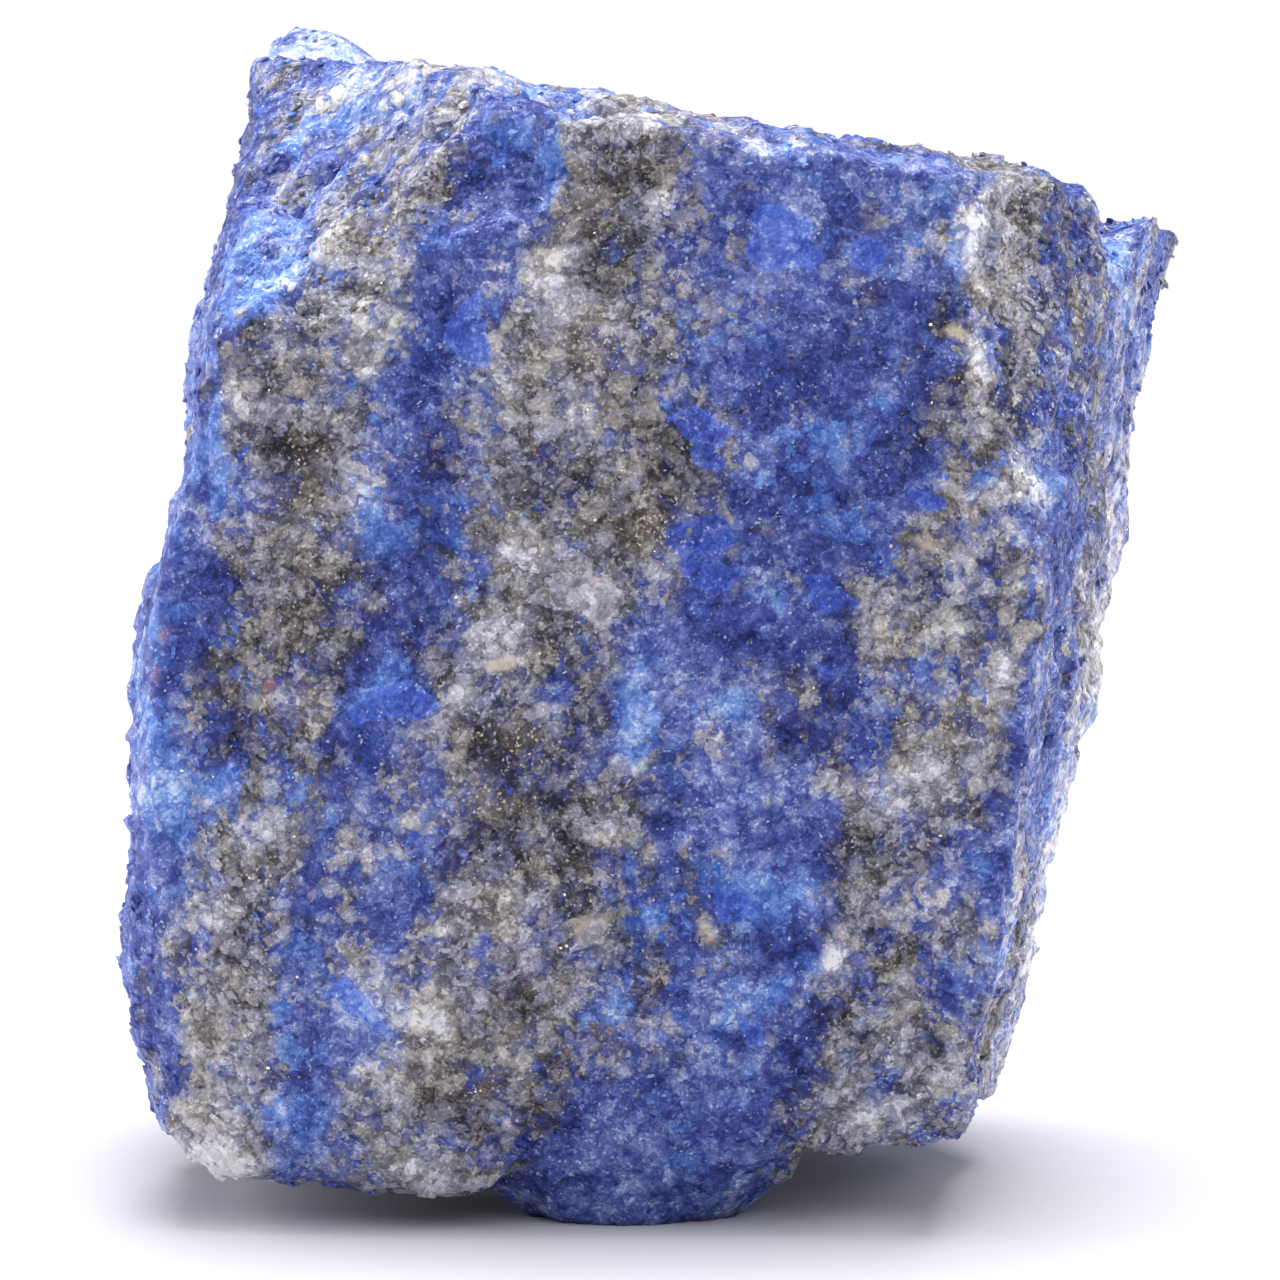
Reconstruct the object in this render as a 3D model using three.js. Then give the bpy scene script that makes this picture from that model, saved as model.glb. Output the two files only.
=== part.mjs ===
// Rough lapis lazuli: one broken block of stone that stands on a small flat spot.
//
// Millimetres, +Z up. The origin is on the flat spot, and the broad front face looks along -Y.
// Every point of the surface is the end of a straight line from the heart of the stone, so the
// whole shape is one function: how far the surface lies in a given direction. The broken faces
// are planes. A lobe is the space behind all of its planes, and where lobes stand side by side
// the one that reaches farther shows, as the peak and the horn do above the plateau. Shallow
// hollows are bitten out by large spheres, and chips and swells give the faces their relief.

import * as THREE from 'three';
import { mergeVertices } from 'three/addons/utils/BufferGeometryUtils.js';

// ---------------------------------------------------------------- driving dimensions

const HEART = new THREE.Vector3(0, 1, 23);

// The grid of directions is that of a box of about the stone's size.
const GRID = { width: 42, depth: 33, height: 46 };
const FACETS = { across: 28, deep: 24, up: 32 };

// How far broken edges are rounded off, measured along the line from the heart.
const EDGE_WEAR = 0.6;

// A line that climbs towards a face by less than this for each millimetre never meets it.
const GRAZING = 1e-4;

// A face looks towards an azimuth (degrees from +X towards +Y) and an elevation (degrees up),
// and passes through a point.
const face = (azimuth, elevation, ...point) => ({
  normal: towards(azimuth, elevation),
  point: new THREE.Vector3(...point),
});

const FLANKS = [
  face(-90, 1.5, 2, -15.2, 25), // broad front face
  face(-99, -2, -10, -14.9, 14), // its left half, turned a little aside
  face(-90, -9, 4, -15, 10), // its lower part, drawn in towards the foot
  face(-139, -1, -20.3, -13, 14), // worn edge between front and left
  face(-177.7, 11.8, -19.8, -13, 28.1), // left side, upper part
  face(-179, 2, -21.2, -10, 17), // left side, widest part
  face(-176, -9, -20.9, -12, 8.5), // left side, lower part
  face(-138.9, 48.1, -17.7, -13.2, 38.2), // sloping shoulder at the upper left
  face(-41.6, 8.7, 17, -14, 26), // narrow wedge between front and right
  face(-12.2, -5.8, 18, -11, 34.6), // right side, upper part
  face(-7.7, -11.9, 15.2, -12, 11.7), // right side, lower part
  face(24, -17, 24, 12, 39.9), // behind the right side
  face(97, 5, -6, 16.9, 30), // back, left half
  face(77, -6, 8, 16.6, 22), // back, right half
  face(140, -3, -17.6, 15.2, 30), // edge between back and left
  face(80, -36, 2, 14.6, 5), // under the back
  face(-163, -48, -19.9, -11, 4.1), // lower left corner
  face(-45, -20, 14.3, -13.2, 3.8), // lower right corner
];

const PLATEAU = [
  face(-49, 78.2, -3.3, -14, 46.6), // bright strip that rises behind the front edge
  face(44.4, 74.2, -3.3, -7, 47.7), // top, falling away to the right and back
  face(0, 79, 16.8, -10, 43.05), // its right end, nearly level
  face(0, 18, 18.3, -8, 43), // upper right corner, broken off steeply
  face(84, 50, 2, 14.2, 41.2), // rear edge of the top
];

const PEAK = [
  face(160, 86, -14.7, 15, 48.8),
  face(-8, 57, -11.9, 15, 48),
  face(-92, 50, -14, 11.5, 48.4),
];

const HORN = [
  face(60, 80, 21.7, 8, 40.4),
  face(-96, 54, 20, -0.5, 40.4),
  face(178, 74, 21.1, 6, 40.5),
];

const LEFT_OVERHANG = [
  face(175, -84, -10, -13, 1.8),
  face(0, -45, -6, -13, 2.2),
];

const RIGHT_OVERHANG = [
  face(-20, -87, 9.2, -12, 3.4),
  face(180, -45, 7.2, -12, 3.4),
];

const FOOT = [
  face(-92, -25, 2, -14.4, 4.6), // undercut below the front face
  face(-128, -40, -3.2, -12.4, 0.9), // its two front corners, broken off
  face(-55, -40, 2.6, -12.2, 0.9),
  face(-168, -62, -4.3, -11.5, 0.4),
  face(8, -44, 4.7, -11.5, 0.4),
  face(95, -48, 0, 8.6, 0.4),
  face(0, -90, 0, 0, -1.2), // past the ground, so that the resting spot is cut flat
];

// Each hollow is bitten out at a point of the surface, facing outwards.
const hollow = (point, azimuth, elevation, width, depth) => {
  const radius = (width * width / 4 + depth * depth) / (2 * depth);
  const centre = towards(azimuth, elevation)
    .multiplyScalar(radius - depth)
    .add(new THREE.Vector3(...point))
    .sub(HEART);
  return { centre, radius };
};

const HOLLOWS = [
  hollow([-6.6, -14.2, 43.5], -100, 28, 6, 0.9), // scoop under the shoulder's edge
  hollow([-12.5, -13.8, 40.2], -110, 30, 4.5, 0.6),
  hollow([18.3, -10.5, 41.2], -30, 15, 2.6, 0.8), // pit in front of the horn
  hollow([-8.4, -15.1, 37.5], -97, 3, 7, 0.5), // curved ledge on the front face
  hollow([10.2, -14, 4.5], -75, -32, 7, 0.8), // lower front edge, right of the foot
  hollow([-12, -14, 2.4], -100, -55, 9, 0.8), // lower front edge, left of the foot
  hollow([-2, 17.1, 31], 92, 5, 19, 1.9), // bowls broken out of the back
  hollow([11, 15.8, 13], 82, -12, 13, 1.3),
  hollow([-20.2, 1.5, 25], 178, 8, 14, 1), // bowls on the left side
  hollow([-20, 6, 9], 170, -12, 10, 0.9),
  hollow([4, 5, 44.3], 44, 74, 15, 1.1), // dip in the plateau
  hollow([20.5, 2, 24], -8, -8, 12, 0.9), // bowl on the right side
];

// The stone is layered: its beds run up the stone, leaning over by this angle.
const BED_LEAN = THREE.MathUtils.degToRad(11.6);
const BED_STRETCH = 0.7;

const SWELL = { size: 11, height: 0.55, seed: 3 };
const RIM = { size: 4.5, height: 0.5, seed: 23 }; // how unevenly the hollows are bitten
const CHIPS = [
  { size: 6.5, step: 0.3, tilt: 0.16, sharpness: 11, seed: 11 },
  { size: 3, step: 0.14, tilt: 0.2, sharpness: 11, seed: 31 },
];

// Large ledges break up the back and the sides. They fade out towards the front face, the top
// and the resting spot, and are lower on the right side.
const LEDGES = { size: 8, step: 0.5, tilt: 0.24, sharpness: 16, seed: 47 };
const LEDGES_START = { front: [-8, -3], right: [12, 6], top: [42, 37], foot: [4, 8] };
const LEDGES_AT_RIGHT = 0.35;

// ---------------------------------------------------------------- directions and planes

function towards(azimuth, elevation) {
  const a = THREE.MathUtils.degToRad(azimuth);
  const e = THREE.MathUtils.degToRad(elevation);
  return new THREE.Vector3(Math.cos(e) * Math.cos(a), Math.cos(e) * Math.sin(a), Math.sin(e));
}

// How far a line from the heart runs before it meets a plane, or forever.
function reachOfFace(direction, { normal, point }) {
  const approach = direction.dot(normal);
  return approach > GRAZING ? point.clone().sub(HEART).dot(normal) / approach : Infinity;
}

// How far it runs before it enters a hollow's sphere, or forever.
function reachOfHollow(direction, { centre, radius }) {
  const nearest = direction.dot(centre);
  const squared = nearest * nearest - (centre.lengthSq() - radius * radius);
  return squared > 0 && nearest > 0 ? nearest - Math.sqrt(squared) : Infinity;
}

// The smaller of two reaches, with the edge between them worn round.
function worn(a, b) {
  const overlap = a === b ? 1 : Math.max(EDGE_WEAR - Math.abs(a - b), 0) / EDGE_WEAR;
  return Math.min(a, b) - (Number.isFinite(a + b) ? overlap * overlap * EDGE_WEAR / 4 : 0);
}

const wornOutside = (a, b) => -worn(-a, -b);

const reachOfLobe = (direction, faces) =>
  faces.map((plane) => reachOfFace(direction, plane)).reduce(worn);

// ---------------------------------------------------------------- relief of the broken faces

// A number from 0 to 1 that depends only on a cell of the grid and a seed.
function scatter(x, y, z, seed) {
  const value = Math.sin(x * 127.1 + y * 311.7 + z * 74.7 + seed * 19.19) * 43758.5453;
  return value - Math.floor(value);
}

const scatterVector = (x, y, z, seed) => new THREE.Vector3(
  scatter(x, y, z, seed),
  scatter(x, y, z, seed + 1),
  scatter(x, y, z, seed + 2),
);

// Smooth noise from -1 to 1, with lumps of the given size.
function swell(point, { size, seed }) {
  const cell = point.clone().divideScalar(size).floor();
  const within = point.clone().divideScalar(size).sub(cell);
  const ease = (t) => t * t * (3 - 2 * t);
  let sum = 0;
  for (const [i, j, k] of CORNERS) {
    const weight = (i ? ease(within.x) : 1 - ease(within.x))
      * (j ? ease(within.y) : 1 - ease(within.y))
      * (k ? ease(within.z) : 1 - ease(within.z));
    sum += weight * scatter(cell.x + i, cell.y + j, cell.z + k, seed);
  }
  return sum * 2 - 1;
}

// Flat chips: each has its own height and lean, and neighbours meet at a soft step.
function chips(point, { size, step, tilt, sharpness, seed }) {
  const scaled = point.clone().divideScalar(size);
  const home = scaled.clone().floor();
  let sum = 0;
  let total = 0;
  for (const [i, j, k] of NEIGHBOURS) {
    const cell = [home.x + i, home.y + j, home.z + k];
    const offset = scaled.clone().sub(new THREE.Vector3(...cell)).sub(scatterVector(...cell, seed));
    const lean = scatterVector(...cell, seed + 5).subScalar(0.5);
    const height = (scatter(...cell, seed + 9) - 0.5) * 2 * step + offset.dot(lean) * size * tilt;
    const weight = Math.exp(-sharpness * offset.lengthSq());
    sum += weight * height;
    total += weight;
  }
  return sum / total;
}

function cube(values) {
  return values.flatMap((i) => values.flatMap((j) => values.map((k) => [i, j, k])));
}
const CORNERS = cube([0, 1]);
const NEIGHBOURS = cube([-1, 0, 1]);

// The same point measured across and along the beds, so that chips are long along them.
function alongBeds({ x, y, z }) {
  const along = x * Math.sin(BED_LEAN) + z * Math.cos(BED_LEAN);
  const across = x * Math.cos(BED_LEAN) - z * Math.sin(BED_LEAN);
  return new THREE.Vector3(across, y, along * BED_STRETCH);
}

// From 0 at one value to 1 at another.
const climb = (value, [from, to]) => THREE.MathUtils.clamp((value - from) / (to - from), 0, 1);

function ledgeShare({ x, y, z }) {
  const side = LEDGES_AT_RIGHT + (1 - LEDGES_AT_RIGHT) * climb(x, LEDGES_START.right);
  const upright = climb(z, LEDGES_START.top) * climb(z, LEDGES_START.foot);
  return side * climb(y, LEDGES_START.front) * upright;
}

function relief(point) {
  const bedded = alongBeds(point);
  const ledges = ledgeShare(point) * chips(bedded, LEDGES);
  return CHIPS.reduce(
    (height, kind) => height + chips(bedded, kind),
    ledges + SWELL.height * swell(bedded, SWELL),
  );
}

// ---------------------------------------------------------------- the stone

const largest = (direction, lobes) =>
  lobes.map((faces) => reachOfLobe(direction, faces)).reduce(wornOutside);

const pointAlong = (direction, reach) => direction.clone().multiplyScalar(reach).add(HEART);

function surfacePoint(direction) {
  const crown = largest(direction, [PLATEAU, PEAK, HORN]);
  const underside = largest(direction, [LEFT_OVERHANG, RIGHT_OVERHANG, FOOT]);
  const block = [reachOfLobe(direction, FLANKS), crown, underside].reduce(worn);
  const wander = RIM.height * swell(pointAlong(direction, block), RIM);
  const bite = Math.min(...HOLLOWS.map((sphere) => reachOfHollow(direction, sphere)));
  const bitten = worn(block, bite + wander);
  const broken = bitten + relief(pointAlong(direction, bitten));
  const ground = direction.z < 0 ? -HEART.z / direction.z : Infinity;
  const point = pointAlong(direction, Math.min(broken, ground));
  return broken < ground ? point : point.setZ(0);
}

function stoneGeometry() {
  const box = new THREE.BoxGeometry(
    GRID.width, GRID.depth, GRID.height,
    FACETS.across, FACETS.deep, FACETS.up,
  );
  box.deleteAttribute('normal');
  box.deleteAttribute('uv');
  const geometry = mergeVertices(box);
  const positions = geometry.attributes.position;
  for (let i = 0; i < positions.count; i += 1) {
    const direction = new THREE.Vector3().fromBufferAttribute(positions, i).normalize();
    positions.setXYZ(i, ...surfacePoint(direction));
  }
  geometry.computeVertexNormals();
  return geometry;
}

const lapis = new THREE.MeshStandardMaterial({ color: 0x3a4f9a, roughness: 0.6, metalness: 0 });

const stone = new THREE.Mesh(stoneGeometry(), lapis);
stone.name = 'lapis_stone';

const part = new THREE.Group();
part.add(stone);

export default part;
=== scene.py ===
"""A rough lapis lazuli stone on a pale floor, built as dressed meshes around its frame.

The stone is one broken block. Every point of its surface is the end of a straight line from the
stone's heart, and how far that line reaches is worked out from broken faces, hollows, chips and
scarps. Bands, patches and flakes then say where the blue lazurite, the grey and white calcite and
the pyrite lie, and the finish turns that into grains. Some regions, the pale bed, the knobs and
the finish also paint light and shade into the colour: highlights on the top, the edges and the
flakes' rims, and shade between grains. Lengths are millimetres until they go into a mesh. The
frame is +Z up, and the broad front face of the stone looks along -Y.
"""

import logging
import math
from collections.abc import Iterator
from dataclasses import dataclass, field, replace
from enum import Enum
from functools import reduce

import bpy
import numpy as np
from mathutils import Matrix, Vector


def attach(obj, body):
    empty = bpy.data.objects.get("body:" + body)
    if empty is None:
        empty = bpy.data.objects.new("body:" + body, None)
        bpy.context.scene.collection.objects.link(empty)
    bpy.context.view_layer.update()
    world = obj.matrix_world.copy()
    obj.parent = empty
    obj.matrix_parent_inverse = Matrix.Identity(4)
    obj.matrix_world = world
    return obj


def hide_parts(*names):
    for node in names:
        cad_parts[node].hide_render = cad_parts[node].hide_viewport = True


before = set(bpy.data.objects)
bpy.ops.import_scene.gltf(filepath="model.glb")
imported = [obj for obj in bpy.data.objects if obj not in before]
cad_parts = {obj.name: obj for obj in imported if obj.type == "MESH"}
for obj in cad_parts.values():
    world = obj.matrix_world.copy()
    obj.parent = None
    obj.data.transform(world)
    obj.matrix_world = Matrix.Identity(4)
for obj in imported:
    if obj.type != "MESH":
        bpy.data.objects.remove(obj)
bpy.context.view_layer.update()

LOG = logging.getLogger("lapis")
MM = 0.001
STONE_NODE = "lapis_stone"
BODY = "root"
FOREVER = 1000.0
GRAZING = 1e-4
LEVEL = 1e-9
AT_FLAKE = -0.1
BED_LEAN = math.radians(11.6)
SCATTER_WAVES = np.array([127.1, 311.7, 74.7])
SCATTER_STEP = 19.19
SCATTER_GAIN = 43758.5453
ROUGH_TOTAL = 1.4


# ------------------------------------------------------------------------------- noise


def towards(azimuth: float, elevation: float) -> np.ndarray:
    """The unit vector that looks towards an azimuth (from +X towards +Y) and an elevation.

    Args:
        azimuth: degrees around +Z.
        elevation: degrees above the floor.

    Returns:
        Three numbers: cos(e)cos(a), cos(e)sin(a), sin(e).
    """
    a, e = math.radians(azimuth), math.radians(elevation)
    return np.array([math.cos(e) * math.cos(a), math.cos(e) * math.sin(a), math.sin(e)])


def scatter(cell: np.ndarray, seed: float) -> np.ndarray:
    """A number from 0 to 1 for each cell of a grid: the fraction of a large sine.

    Args:
        cell: whole-number cell coordinates, n by 3.
        seed: picks another set of numbers.

    Returns:
        n numbers.
    """
    value = np.sin(cell @ SCATTER_WAVES + seed * SCATTER_STEP) * SCATTER_GAIN
    return value - np.floor(value)


def scatter_vector(cell: np.ndarray, seed: float) -> np.ndarray:
    """Three such numbers for each cell, n by 3."""
    return np.stack([scatter(cell, seed + i) for i in range(3)], -1)


def swell(points: np.ndarray, size: float, seed: float) -> np.ndarray:
    """Smooth noise from -1 to 1: eight corner numbers of a cell, blended by 3t^2 - 2t^3.

    Args:
        points: n by 3.
        size: the width of a lump.
        seed: picks another pattern.

    Returns:
        n numbers.
    """
    scaled = points / size
    cell = np.floor(scaled)
    t = scaled - cell
    ease = t * t * (3 - 2 * t)
    total = np.zeros(len(points))
    for corner in np.ndindex(2, 2, 2):
        weight = np.prod(np.where(corner, ease, 1 - ease), axis=1)
        total += weight * scatter(cell + corner, seed)
    return total * 2 - 1


def rough(points: np.ndarray, size: float, seed: float, octaves: int = 3) -> np.ndarray:
    """Swells of halving size and height, added up, from about -1 to 1."""
    total = sum(
        swell(points, size / 2**i, seed + 7 * i) / 2**i for i in range(octaves)
    )
    return total / ROUGH_TOTAL


def climb(value: np.ndarray, span: tuple[float, float]) -> np.ndarray:
    """From 0 at the span's first number to 1 at its second, in a straight line."""
    return np.clip((value - span[0]) / (span[1] - span[0]), 0, 1)


def bedded(points: np.ndarray, stretch: float) -> np.ndarray:
    """The points measured across and along the leaning beds, squeezed along them.

    Args:
        points: n by 3.
        stretch: what lengths along the beds are multiplied by.

    Returns:
        n by 3: x cos - z sin, y, and (x sin + z cos) times the stretch.
    """
    cos, sin = math.cos(BED_LEAN), math.sin(BED_LEAN)
    x, y, z = points.T
    return np.stack([x * cos - z * sin, y, (x * sin + z * cos) * stretch], -1)


def seeds_around(
    points: np.ndarray, size: float, seed: float
) -> Iterator[tuple[np.ndarray, np.ndarray]]:
    """The 27 cells at and around each point, one after another, each with one seed in it.

    Args:
        points: n by 3.
        size: the width of a cell.
        seed: picks other places for the seeds.

    Returns:
        27 pairs: the cells, n by 3, and how far the points lie from their seeds, in cells.
    """
    scaled = points / size
    home = np.floor(scaled)
    for shift in np.ndindex(3, 3, 3):
        cell = home + np.array(shift) - 1
        yield cell, scaled - cell - scatter_vector(cell, seed)


def mosaic(points: np.ndarray, size: float, seed: float, sharp: float) -> np.ndarray:
    """A number from -0.5 to 0.5 for each grain of a mosaic, blended a little at the edges.

    Args:
        points: n by 3.
        size: the width of a grain.
        seed: picks another mosaic.
        sharp: how crisp the edges are.

    Returns:
        n numbers: the seeds' own numbers, weighted by exp(-sharp d^2).
    """
    total = np.zeros(len(points))
    weights = np.zeros(len(points))
    for cell, offset in seeds_around(points, size, seed):
        weight = np.exp(-sharp * (offset**2).sum(1))
        total += weight * (scatter(cell, seed + 9) - 0.5)
        weights += weight
    return total / weights


# ------------------------------------------------------------------------------- the stone's shape


@dataclass(frozen=True)
class Face:
    """A plane of the broken block: where it looks and one point of it."""

    azimuth: float
    elevation: float
    point: tuple[float, float, float]

    def reach(self, directions: np.ndarray, heart: np.ndarray) -> np.ndarray:
        """How far each line from the heart runs to the plane: height over cosine."""
        normal = towards(self.azimuth, self.elevation)
        approach = directions @ normal
        height = (np.array(self.point) - heart) @ normal
        return np.where(approach > GRAZING, height / np.maximum(approach, GRAZING), FOREVER)


@dataclass(frozen=True)
class Hollow:
    """A shallow bite out of a face, taken by a sphere: point, outward look, width and depth."""

    point: tuple[float, float, float]
    azimuth: float
    elevation: float
    width: float
    depth: float

    def reach(self, directions: np.ndarray, heart: np.ndarray) -> np.ndarray:
        """How far each line runs before it enters the sphere: b - sqrt(b^2 - c^2 + r^2)."""
        radius = (self.width**2 / 4 + self.depth**2) / (2 * self.depth)
        out = towards(self.azimuth, self.elevation) * (radius - self.depth)
        centre = np.array(self.point) + out - heart
        nearest = directions @ centre
        squared = nearest**2 - (centre @ centre - radius**2)
        enters = (squared > 0) & (nearest > 0)
        return np.where(enters, nearest - np.sqrt(np.maximum(squared, 0)), FOREVER)


@dataclass(frozen=True)
class Chips:
    """A coat of flat chips of about one size, each with its own height and lean."""

    size: float
    step: float
    tilt: float
    seed: int
    sharpness: float = 11.0

    def height(self, points: np.ndarray) -> np.ndarray:
        """Chip heights, blended by exp(-sharpness d^2) over the 27 seeds around a point."""
        total = np.zeros(len(points))
        weights = np.zeros(len(points))
        for cell, offset in seeds_around(points, self.size, self.seed):
            weight = np.exp(-self.sharpness * (offset**2).sum(1))
            lean = scatter_vector(cell, self.seed + 5) - 0.5
            rise = (scatter(cell, self.seed + 9) - 0.5) * 2 * self.step
            total += weight * (rise + (offset * lean).sum(1) * self.size * self.tilt)
            weights += weight
        return total / weights


@dataclass(frozen=True)
class Scarp:
    """A small step in the front face, along a line from one (x, z) to another.

    The side to the left of the line's run stands up by `height` and sinks back over `fade`.
    """

    start: tuple[float, float]
    end: tuple[float, float]
    height: float
    fade: float = 2.2
    sharp: float = 0.22
    end_fade: float = 0.8

    def rise(self, x: np.ndarray, z: np.ndarray) -> np.ndarray:
        """The step: height/2 (1 + tanh(d / sharp)) exp(-(d / fade)^2), faded at both ends."""
        run = np.array(self.end) - np.array(self.start)
        length = float(np.hypot(*run))
        along = ((x - self.start[0]) * run[0] + (z - self.start[1]) * run[1]) / length
        across = ((z - self.start[1]) * run[0] - (x - self.start[0]) * run[1]) / length
        ends = np.clip(np.minimum(along, length - along) / self.end_fade + 0.5, 0, 1)
        step = 0.5 * (1 + np.tanh(across / self.sharp))
        return self.height * step * np.exp(-((across / self.fade) ** 2)) * ends


def face(azimuth: float, elevation: float, *point: float) -> Face:
    """Shorthand for a Face."""
    return Face(azimuth, elevation, point)


@dataclass(frozen=True)
class BrokenBlock:
    """The stone's form: which point its surface has in each direction from its heart."""

    heart: tuple[float, float, float] = (0.0, 1.0, 23.0)
    edge_wear: float = 0.6
    bed_stretch: float = 0.7
    flanks: tuple[Face, ...] = (
        face(-90, 1.5, 2, -15.2, 25),
        face(-99, -2, -10, -14.9, 14),
        face(-90, -9, 4, -15, 10),
        face(-139, -1, -20.3, -13, 14),
        face(-177.7, 11.8, -19.8, -13, 28.1),
        face(-179, 2, -21.2, -10, 17),
        face(-176, -9, -20.9, -12, 8.5),
        face(-138.9, 48.1, -17.7, -13.2, 38.2),
        face(-41.6, 8.7, 17, -14, 26),
        face(-12.2, -5.8, 18, -11, 34.6),
        face(-7.7, -11.9, 15.2, -12, 11.7),
        face(24, -17, 24, 12, 39.9),
        face(97, 5, -6, 16.9, 30),
        face(77, -6, 8, 16.6, 22),
        face(140, -3, -17.6, 15.2, 30),
        face(80, -36, 2, 14.6, 5),
        face(-163, -48, -19.9, -11, 4.1),
        face(-45, -20, 14.3, -13.2, 3.8),
    )
    crown: tuple[tuple[Face, ...], ...] = (
        (
            face(-49, 78.2, -3.3, -14, 46.6),
            face(44.4, 74.2, -3.3, -7, 47.7),
            face(0, 79, 16.8, -10, 43.05),
            face(0, 18, 18.3, -8, 43),
            face(84, 50, 2, 14.2, 41.2),
        ),
        (
            face(160, 86, -14.7, 15, 48.8),
            face(-8, 57, -11.9, 15, 48),
            face(-92, 50, -14, 11.5, 48.4),
        ),
        (
            face(60, 80, 21.7, 8, 40.4),
            face(-96, 54, 20, -0.5, 40.4),
            face(178, 74, 21.1, 6, 40.5),
        ),
    )
    underside: tuple[tuple[Face, ...], ...] = (
        (face(175, -84, -10, -13, 1.8), face(0, -45, -6, -13, 2.2)),
        (face(-20, -87, 9.2, -12, 3.4), face(180, -45, 7.2, -12, 3.4)),
        (
            face(-92, -25, 2, -14.4, 4.6),
            face(-128, -40, -3.2, -12.4, 0.9),
            face(-55, -40, 2.6, -12.2, 0.9),
            face(-168, -62, -4.3, -11.5, 0.4),
            face(8, -44, 4.7, -11.5, 0.4),
            face(95, -48, 0, 8.6, 0.4),
            face(0, -90, 0, 0, -1.2),
        ),
    )
    hollows: tuple[Hollow, ...] = (
        Hollow((-6.6, -14.2, 43.5), -100, 28, 6, 0.9),
        Hollow((-12.5, -13.8, 40.2), -110, 30, 4.5, 0.6),
        Hollow((18.3, -10.5, 41.2), -30, 15, 2.6, 0.8),
        Hollow((-8.4, -15.1, 37.5), -97, 3, 7, 0.5),
        Hollow((10.2, -14, 4.5), -75, -32, 7, 0.8),
        Hollow((-12, -14, 2.4), -100, -55, 9, 0.8),
        Hollow((-2, 17.1, 31), 92, 5, 19, 1.9),
        Hollow((11, 15.8, 13), 82, -12, 13, 1.3),
        Hollow((-20.2, 1.5, 25), 178, 8, 14, 1),
        Hollow((-20, 6, 9), 170, -12, 10, 0.9),
        Hollow((4, 5, 44.3), 44, 74, 15, 1.1),
        Hollow((20.5, 2, 24), -8, -8, 12, 0.9),
    )
    swell_size: float = 11.0
    swell_height: float = 0.55
    swell_seed: int = 3
    rim_size: float = 4.5
    rim_height: float = 0.5
    rim_seed: int = 23
    bedded_chips: tuple[Chips, ...] = (Chips(6.5, 0.3, 0.16, 11), Chips(3, 0.14, 0.2, 31))
    ledges: Chips = Chips(8, 0.5, 0.24, 47, 16.0)
    ledges_at_right: float = 0.35
    ledge_front: tuple[float, float] = (-8.0, -3.0)
    ledge_right: tuple[float, float] = (12.0, 6.0)
    ledge_top: tuple[float, float] = (42.0, 37.0)
    ledge_foot: tuple[float, float] = (4.0, 8.0)
    fine_chips: tuple[Chips, ...] = (
        Chips(2.1, 0.13, 0.32, 51, 24.0),
        Chips(1.15, 0.09, 0.42, 67, 24.0),
    )
    grit_size: float = 0.7
    grit_height: float = 0.05
    grit_seed: int = 71
    scarp_front: tuple[float, float] = (-9.0, -12.0)
    scarp_wander: float = 0.35
    scarp_wander_size: float = 1.6
    scarp_seeds: tuple[int, int] = (81, 91)
    scarps: tuple[Scarp, ...] = (
        Scarp((-9.0, 42.3), (-6.5, 40.3), 0.45),
        Scarp((-6.5, 39.4), (-8.2, 37.7), -0.50),
        Scarp((-4.3, 43.9), (-6.1, 45.6), 0.32),
        Scarp((9.2, 41.7), (6.3, 42.7), 0.42),
        Scarp((4.4, 31.0), (2.6, 32.0), -0.42),
        Scarp((12.4, 28.1), (7.6, 30.9), 0.50),
        Scarp((10.0, 26.6), (6.0, 28.0), 0.32),
        Scarp((5.9, 5.4), (-1.2, 6.4), 0.45),
        Scarp((13.6, 6.9), (6.8, 4.4), 0.42),
        Scarp((-0.6, 26.2), (-2.2, 25.4), -0.42),
        Scarp((-9.6, 8.2), (-13.0, 10.2), -0.38),
        Scarp((-5.6, 19.0), (-7.6, 20.6), 0.32),
        Scarp((-18.0, 38.7), (-13.6, 40.5), -0.42),
    )

    def worn(self, a: np.ndarray, b: np.ndarray) -> np.ndarray:
        """The smaller of two reaches, less wear/4 (1 - |a-b|/wear)^2 where they meet."""
        overlap = np.maximum(self.edge_wear - np.abs(a - b), 0) / self.edge_wear
        return np.minimum(a, b) - overlap**2 * self.edge_wear / 4

    def lobe(self, directions: np.ndarray, faces: tuple[Face, ...]) -> np.ndarray:
        """The reach of the space behind all of the faces."""
        heart = np.array(self.heart)
        return reduce(self.worn, (plane.reach(directions, heart) for plane in faces))

    def largest(
        self, directions: np.ndarray, lobes: tuple[tuple[Face, ...], ...]
    ) -> np.ndarray:
        """The reach of whichever lobe reaches farthest, with worn edges between them."""
        reaches = (-self.lobe(directions, faces) for faces in lobes)
        return -reduce(self.worn, reaches)

    def ledge_share(self, points: np.ndarray) -> np.ndarray:
        """How much of the ledges shows: none on the front, the top and the resting spot."""
        x, y, z = points.T
        side = self.ledges_at_right + (1 - self.ledges_at_right) * climb(x, self.ledge_right)
        upright = climb(z, self.ledge_top) * climb(z, self.ledge_foot)
        return side * climb(y, self.ledge_front) * upright

    def relief(self, points: np.ndarray) -> np.ndarray:
        """Swells, ledges, bedded and fine chips, grit and the front's scarps, added up."""
        beds = bedded(points, self.bed_stretch)
        total = self.swell_height * swell(beds, self.swell_size, self.swell_seed)
        total += self.ledge_share(points) * self.ledges.height(beds)
        for coat in self.bedded_chips:
            total += coat.height(beds)
        for coat in self.fine_chips:
            total += coat.height(points)
        total += self.grit_height * swell(points, self.grit_size, self.grit_seed)
        return total + self.front_scarps(points)

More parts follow.
